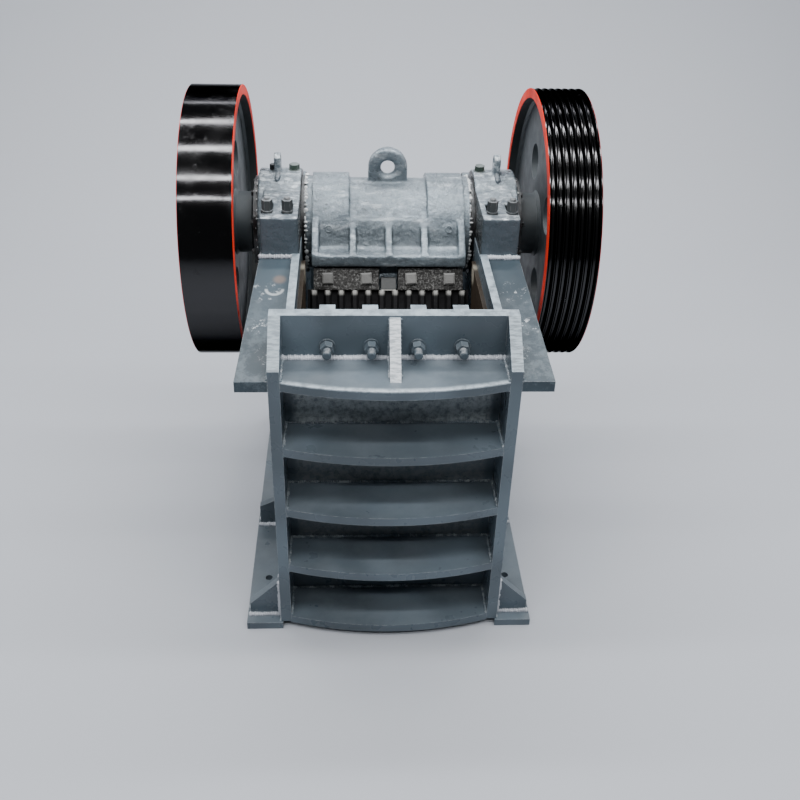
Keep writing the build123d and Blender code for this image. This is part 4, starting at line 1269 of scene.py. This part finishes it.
def rim_outline(grooves):
    """The rim's outline; the tread has grooves on the pulley and none on the flywheel."""
    inner, outer, soft = WHEEL_INNER, WHEEL_OUTER, RIM_EDGE
    web_end = WEB_START + WEB_THICK
    line = [
        (inner, RIM_IN + soft, SIDE_RED),
        (inner, RIM_OUT - soft, SIDE_RED),
        (inner + soft, RIM_OUT, TREAD),
    ]
    first = (inner + outer) / 2 - GROOVE_PITCH * (GROOVES - 1) / 2
    for number in range(grooves):
        line += groove_points(first + GROOVE_PITCH * number)
    return line + [
        (outer - soft, RIM_OUT, SIDE_RED),
        (outer, RIM_OUT - soft, SIDE_RED),
        (outer, RIM_IN + soft, SIDE_RED),
        (outer - soft, RIM_IN, INSIDE),
        (web_end + 0.012, RIM_IN - 0.001, GREY),
        (web_end + 0.002, RIM_IN - 0.010, GREY),
        (WEB_START - 0.002, RIM_IN - 0.010, GREY),
        (WEB_START - 0.012, RIM_IN - 0.001, INSIDE),
        (inner + soft, RIM_IN, SIDE_RED),
    ]


def hub_outline():
    """The hub's outline, from its inner end to its outer end, with a fillet at the web."""
    web_end = WEB_START + WEB_THICK
    points = [
        (HUB_START, HUB_BORE + 0.002),
        (HUB_START, HUB_REACH - 0.004),
        (HUB_START + 0.004, HUB_REACH),
        (WEB_START - 0.012, HUB_REACH + 0.001),
        (WEB_START - 0.001, HUB_REACH + 0.012),
        (web_end + 0.001, HUB_REACH + 0.012),
        (web_end + 0.012, HUB_REACH + 0.001),
        (HUB_END - 0.004, HUB_REACH),
        (HUB_END, HUB_REACH - 0.004),
        (HUB_END, HUB_BORE + 0.002),
        (HUB_END - 0.002, HUB_BORE),
        (HUB_START + 0.002, HUB_BORE),
    ]
    return [(across, radius, GREY) for across, radius in points]


print("outline points:", len(rim_outline(GROOVES)), "rim,", len(hub_outline()), "hub")

# %% Turn the wheels
RIM_SEGMENTS, HUB_SEGMENTS = 200, 96


def turned_ring(work, outline, side, segments):
    """Turns a closed outline of (across, radius, finish) round the shaft."""
    rows = []
    for step in range(segments):
        angle = 2 * math.pi * step / segments
        row = []
        for across, radius, _ in outline:
            y, z = SHAFT.y + radius * math.cos(angle), SHAFT.z + radius * math.sin(angle)
            row.append(work.verts.new((side * across, y, z)))
        rows.append(row)
    for step in range(segments):
        row, after = rows[step], rows[(step + 1) % segments]
        for k in range(len(outline)):
            m = (k + 1) % len(outline)
            face = work.faces.new((row[k], row[m], after[m], after[k]))
            face.material_index = outline[k][2]


def dressed_wheel(name, side, grooves):
    """A rim, a web and a hub in one mesh."""
    web_sizes = {
        "Outer Radius": RIM_IN - 0.004,
        "Bore Radius": 0.1,
        "Hole Radius": WEB_HOLE_RADIUS,
        "Hole Circle": WEB_HOLE_CIRCLE,
        "Holes": WEB_HOLES,
        "First Hole": math.radians(60),
        "Thickness": WEB_THICK,
        "Material": web_grey,
    }
    work = bmesh.new()
    work.from_mesh(grow(web_tree, point_mesh([(0, 0, 0)]), web_sizes))
    for vert in work.verts:
        vert.co = (side * (WEB_START + vert.co.z), SHAFT.y + vert.co.x, SHAFT.z + vert.co.y)
    for face in work.faces:
        face.material_index = GREY
    turned_ring(work, rim_outline(grooves), side, RIM_SEGMENTS)
    turned_ring(work, hub_outline(), side, HUB_SEGMENTS)
    bmesh.ops.recalc_face_normals(work, faces=work.faces)
    mesh = mesh_of(name, work)
    for material in (gloss_black, rim_red, web_grey, rim_inside):
        mesh.materials.append(material)
    wheel = settle(name + "_dressed", mesh, None, "rotor", smooth=32)
    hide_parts(name)


dressed_wheel("flywheel", -1, 0)
dressed_wheel("grooved_pulley", 1, GROOVES)

# %% [markdown]
# ## Square bolt heads on the clamps
#
# Each clamp is held by two bolts whose square heads stand a little proud of the rough face.
# The same tree copies them; only the template and the direction are new.

# %% Clamp bolts
CLAMP_BOLTS = (-0.225, -0.083, 0.083, 0.225)
clamp_middle = JAW_FOOT + JAW_UP * (JAW_LENGTH + 0.044) - JAW_FRONT * 0.004
head_places = [clamp_middle + Vector((x, 0, 0)) for x in CLAMP_BOLTS]
square_head = nut_template("square_head", 0.042, 0.013, sides=4)
head_values = (JAW_FRONT, head_steel, "swing_jaw", "jaw_steel")
bolts("clamp_bolt_heads", square_head, head_places, *head_values, turn=0.12)
bpy.data.objects.remove(square_head)

# %% [markdown]
# ## Grease round the shaft
#
# The bearings are greased until a little grease is squeezed out of the gap between the
# housing and the swinging jaw. It sits there in pale wet lumps, all round. A tree puts a ball
# on every point of a ring and lets each have its own size.

# %% Grease
grease, grease_tree, grease_shader = new_material("squeezed grease")
grease_tone = noise(grease_tree, object_place(grease_tree), 160.0)
grease_colour = blend_colours(grease_tree, grease_tone, (0.45, 0.48, 0.50, 1), (0.95, 0.97, 0.98, 1))
grease_tree.links.new(grease_colour, grease_shader.inputs["Base Color"])
wetness = squeeze(grease_tree, grease_tone, 0.3, 0.7, 0.12, 0.35)
grease_tree.links.new(wetness, grease_shader.inputs["Roughness"])
print("grease:", len(grease_tree.nodes), "nodes")

# %% The grease tree
lump_tree, lump_in, lump_out = new_geometry_tree(
    "grease ring",
    [
        ("Radius", "NodeSocketFloat", 0.17),
        ("Lumps", "NodeSocketInt", 150),
        ("Lump Size", "NodeSocketFloat", 0.006),
        ("Seed", "NodeSocketInt", 3),
        ("Material", "NodeSocketMaterial", None),
    ],
)
lump_ring = {"Vertices": lump_in["Lumps"], "Radius": lump_in["Radius"]}
ring = add_node(lump_tree, "GeometryNodeMeshCircle", {}, **lump_ring)
jitter = random_vector(lump_tree, (-0.006, -0.006, -0.003), (0.006, 0.006, 0.003), lump_in["Seed"])
loose = add_node(lump_tree, "GeometryNodeSetPosition", {}, i0=ring.outputs[0], Offset=jitter)
ball = add_node(lump_tree, "GeometryNodeMeshIcoSphere", {}, Radius=1.0, Subdivisions=2)
sizes = random_vector(lump_tree, (0.15, 0.15, 0.15), (1.25, 1.25, 1.0), lump_in["Seed"])
lumps = add_node(
    lump_tree,
    "GeometryNodeInstanceOnPoints",
    {},
    Points=loose.outputs[0],
    Instance=ball.outputs[0],
    Scale=scaled(lump_tree, sizes, lump_in["Lump Size"]),
)
end_tree(lump_tree, lumps.outputs[0], lump_in["Material"], lump_out)
print("grease tree:", len(lump_tree.nodes), "nodes")


# %% Lay the grease
def grease_ring(name, x, radius, count, size, seed):
    """A ring of grease lumps round the shaft at x."""
    values = {"Radius": radius, "Lumps": count, "Lump Size": size, "Seed": seed, "Material": grease}
    mesh = grow(lump_tree, point_mesh([(0, 0, 0)]), values)
    turn = Matrix.Rotation(math.radians(90), 4, "Y")
    mesh.transform(Matrix.Translation((x, SHAFT.y, SHAFT.z)) @ turn)
    settle(name, mesh, grease, "frame", smooth=None)


for name, side in SIDES.items():
    grease_ring("grease_ring_" + name, side * 0.3075, 0.1785, 70, 0.009, 5 + side)
    grease_ring("outer_grease_ring_" + name, side * 0.4865, 0.178, 31, 0.006, 25 + side)

# %% [markdown]
# ## Bolts on the bearing housings
#
# Eight bolts hold each cover, a large one stands on each cap, and a small one beside it on the
# left. Two nuts stand in slots on each housing's shelf and clamp it to the frame. All are copies
# of short-lived templates, so a new size costs one line.

# %% Bolts round the bearing covers
COVER_BOLTS, COVER_CIRCLE = 8, 0.152
cover_bolt = nut_template("cover_bolt", 0.019, 0.010, washer=0.013)
for name, side in SIDES.items():
    face = max(abs(corner.x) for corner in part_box("bearing_cover_" + name))
    places = []
    for step in range(COVER_BOLTS):
        angle = math.radians(22.5 + 360 / COVER_BOLTS * step)
        y, z = SHAFT.y + COVER_CIRCLE * math.cos(angle), SHAFT.z + COVER_CIRCLE * math.sin(angle)
        places.append((side * face, y, z))
    bolts("cover_bolts_" + name, cover_bolt, places, (side, 0, 0), black_paint, "frame", "dark_paint")
bpy.data.objects.remove(cover_bolt)

# %% Bolts on top of the bearing caps
UPWARDS = (0, 0, 1)
CAP_TOP = SHAFT.z + 0.205 - 0.002
green_paint = paint("old green bolt paint", (0.035, 0.06, 0.045, 1), 0.4, 0.8, 0.4, seed=41.0)
cap_bolt = nut_template("cap_bolt", 0.034, 0.020, washer=0.023)
green_values = (UPWARDS, green_paint, "frame", "dark_paint")
for name, side in SIDES.items():
    place = (side * 0.351, SHAFT.y + 0.022, CAP_TOP)
    bolts("cap_bolt_" + name, cap_bolt, [place], *green_values, seed=11 + side)
bpy.data.objects.remove(cap_bolt)
small_bolt = nut_template("small_cap_bolt", 0.022, 0.020, washer=0.013)
small_place = (-0.431, SHAFT.y + 0.018, CAP_TOP)
small_values = (UPWARDS, black_paint, "frame", "dark_paint")
bolts("small_cap_bolt_left", small_bolt, [small_place], *small_values, seed=13)
bpy.data.objects.remove(small_bolt)

# %% Nuts in the slots of the bearing housings
SHELF_TOP = SHAFT.z + 0.177
SHELF_NUT_X = (0.361, 0.431)
SHELF_NUT_Y = -0.058
grey_paint = paint("old grey nut paint", (0.044, 0.050, 0.052, 1), 0.4, 0.6, 0.6, seed=43.0)
shelf_nut = nut_template("shelf_nut", 0.034, 0.039, washer=0.0207, stud=0.011, stud_out=0.009)
shelf_nut.data.transform(Matrix.Rotation(math.radians(30), 4, "Z"))
grey_values = (UPWARDS, grey_paint, "frame", "slate_paint")
for name, side in SIDES.items():
    places = [(side * x, SHELF_NUT_Y, SHELF_TOP - 0.001) for x in SHELF_NUT_X]
    bolts("shelf_nuts_" + name, shelf_nut, places, *grey_values, turn=0.15, seed=17 + side)
bpy.data.objects.remove(shelf_nut)

# %% [markdown]
# ## The tension spring
#
# A coil spring is round wire wound at a steady pitch. A tree makes the helix, and a small
# circle is run along it. It is wound standing on the origin and then laid along the rod,
# between its two washers.

# %% The spring tree
spring_tree, spring_in, spring_out = new_geometry_tree(
    "coil spring",
    [
        ("Turns", "NodeSocketFloat", 6.0),
        ("Coil Radius", "NodeSocketFloat", 0.040),
        ("Wire Radius", "NodeSocketFloat", 0.009),
        ("Length", "NodeSocketFloat", 0.128),
        ("Material", "NodeSocketMaterial", None),
    ],
)
helix = add_node(
    spring_tree,
    "GeometryNodeCurveSpiral",
    {},
    Resolution=40,
    Rotations=spring_in["Turns"],
    Height=spring_in["Length"],
    Start_Radius=spring_in["Coil Radius"],
    End_Radius=spring_in["Coil Radius"],
)
wire_line = round_line(spring_tree, spring_in["Wire Radius"], 16)
wire = add_node(
    spring_tree,
    "GeometryNodeCurveToMesh",
    {},
    Curve=helix.outputs[0],
    Profile_Curve=wire_line.outputs[0],
    Fill_Caps=True,
)
end_tree(spring_tree, wire.outputs[0], spring_in["Material"], spring_out)
print("spring tree:", len(spring_tree.nodes), "nodes")

# %% Wind the spring
SPRING_TURNS = 6.0
COIL_RADIUS = 0.040
WIRE_RADIUS = 0.009
SPRING_LOW, SPRING_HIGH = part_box("tension_spring")
spring_values = {
    "Turns": SPRING_TURNS,
    "Coil Radius": COIL_RADIUS,
    "Wire Radius": WIRE_RADIUS,
    "Length": SPRING_HIGH.y - SPRING_LOW.y - 2 * WIRE_RADIUS,
    "Material": black_paint,
}
spring_mesh = grow(spring_tree, point_mesh([(0, 0, 0)]), spring_values)
lie_down = Matrix.Rotation(math.radians(-90), 4, "X")
spring_start = (0, SPRING_LOW.y + WIRE_RADIUS, (SPRING_LOW.z + SPRING_HIGH.z) / 2)
spring_mesh.transform(Matrix.Translation(spring_start) @ lie_down)
spring = settle("tension_spring_wound", spring_mesh, black_paint, "frame", smooth=50)
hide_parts("tension_spring")

# %% [markdown]
# ## The studio
#
# A pale floor that curves up into a pale wall, and rows of long lamps overhead, as in a
# workshop hall. On the gloss black wheels each row shows as one bright band, and what looks
# down or forward gets only the light that the floor sends back.


# %% The floor
FLOOR_HALF = 14.0
FLOOR_FRONT, FLOOR_BACK = -9.0, 4.2
WALL_BEND, WALL_TOP = 2.0, 9.0
BEND_STEPS = 16


def studio_floor():
    """A floor with a smooth curve up into a back wall."""
    bend_start = FLOOR_BACK - WALL_BEND
    profile = [(FLOOR_FRONT, 0.0), (bend_start, 0.0)]
    for step in range(1, BEND_STEPS + 1):
        angle = math.radians(90 * step / BEND_STEPS)
        rise = WALL_BEND - WALL_BEND * math.cos(angle)
        profile.append((bend_start + WALL_BEND * math.sin(angle), rise))
    profile.append((FLOOR_BACK, WALL_TOP))
    points = [(x, y, z) for y, z in profile for x in (-FLOOR_HALF, FLOOR_HALF)]
    faces = [(2 * i, 2 * i + 1, 2 * i + 3, 2 * i + 2) for i in range(len(profile) - 1)]
    mesh = bpy.data.meshes.new("studio_floor")
    mesh.from_pydata(points, [], faces)
    mesh.polygons.foreach_set("use_smooth", [True] * len(faces))
    material = new_material("studio floor")[0]
    set_shader(material, Base_Color=(0.43, 0.452, 0.495, 1), Roughness=0.75)
    mesh.materials.append(material)
    floor = bpy.data.objects.new("studio_floor", mesh)
    SCENE.collection.objects.link(floor)


studio_floor()
print("the floor curves up from y =", FLOOR_BACK - WALL_BEND)

# %% The lamps
LAMP_SIZE = (8.0, 0.28)
LAMP_HEIGHT = 5.0
LAMP_ROWS = ((3.73, 200), (1.41, 215), (-0.37, 200), (-2.25, 195), (-4.11, 190))
AIR_COLOUR = (0.80, 0.84, 0.90, 1)
AIR_STRENGTH = 0.08


def row_lamp(name, y, power):
    """A long rectangular lamp across the hall that shines straight down."""
    data = bpy.data.lights.new(name, "AREA")
    data.shape = "RECTANGLE"
    data.size, data.size_y = LAMP_SIZE
    data.energy = power
    lamp = bpy.data.objects.new(name, data)
    lamp.location = (0, y, LAMP_HEIGHT)
    lamp.rotation_mode = "QUATERNION"
    lamp.rotation_quaternion = Vector((0, 0, -LAMP_HEIGHT)).to_track_quat("-Z", "Y")
    SCENE.collection.objects.link(lamp)


for number, (y, power) in enumerate(LAMP_ROWS, 1):
    row_lamp("strip_lamp_" + str(number), y, power)
world = bpy.data.worlds.new("studio air")
world.use_nodes = True
air = world.node_tree.nodes["Background"].inputs
air["Color"].default_value = AIR_COLOUR
air["Strength"].default_value = AIR_STRENGTH
SCENE.world = world
print("lamps:", len(LAMP_ROWS))
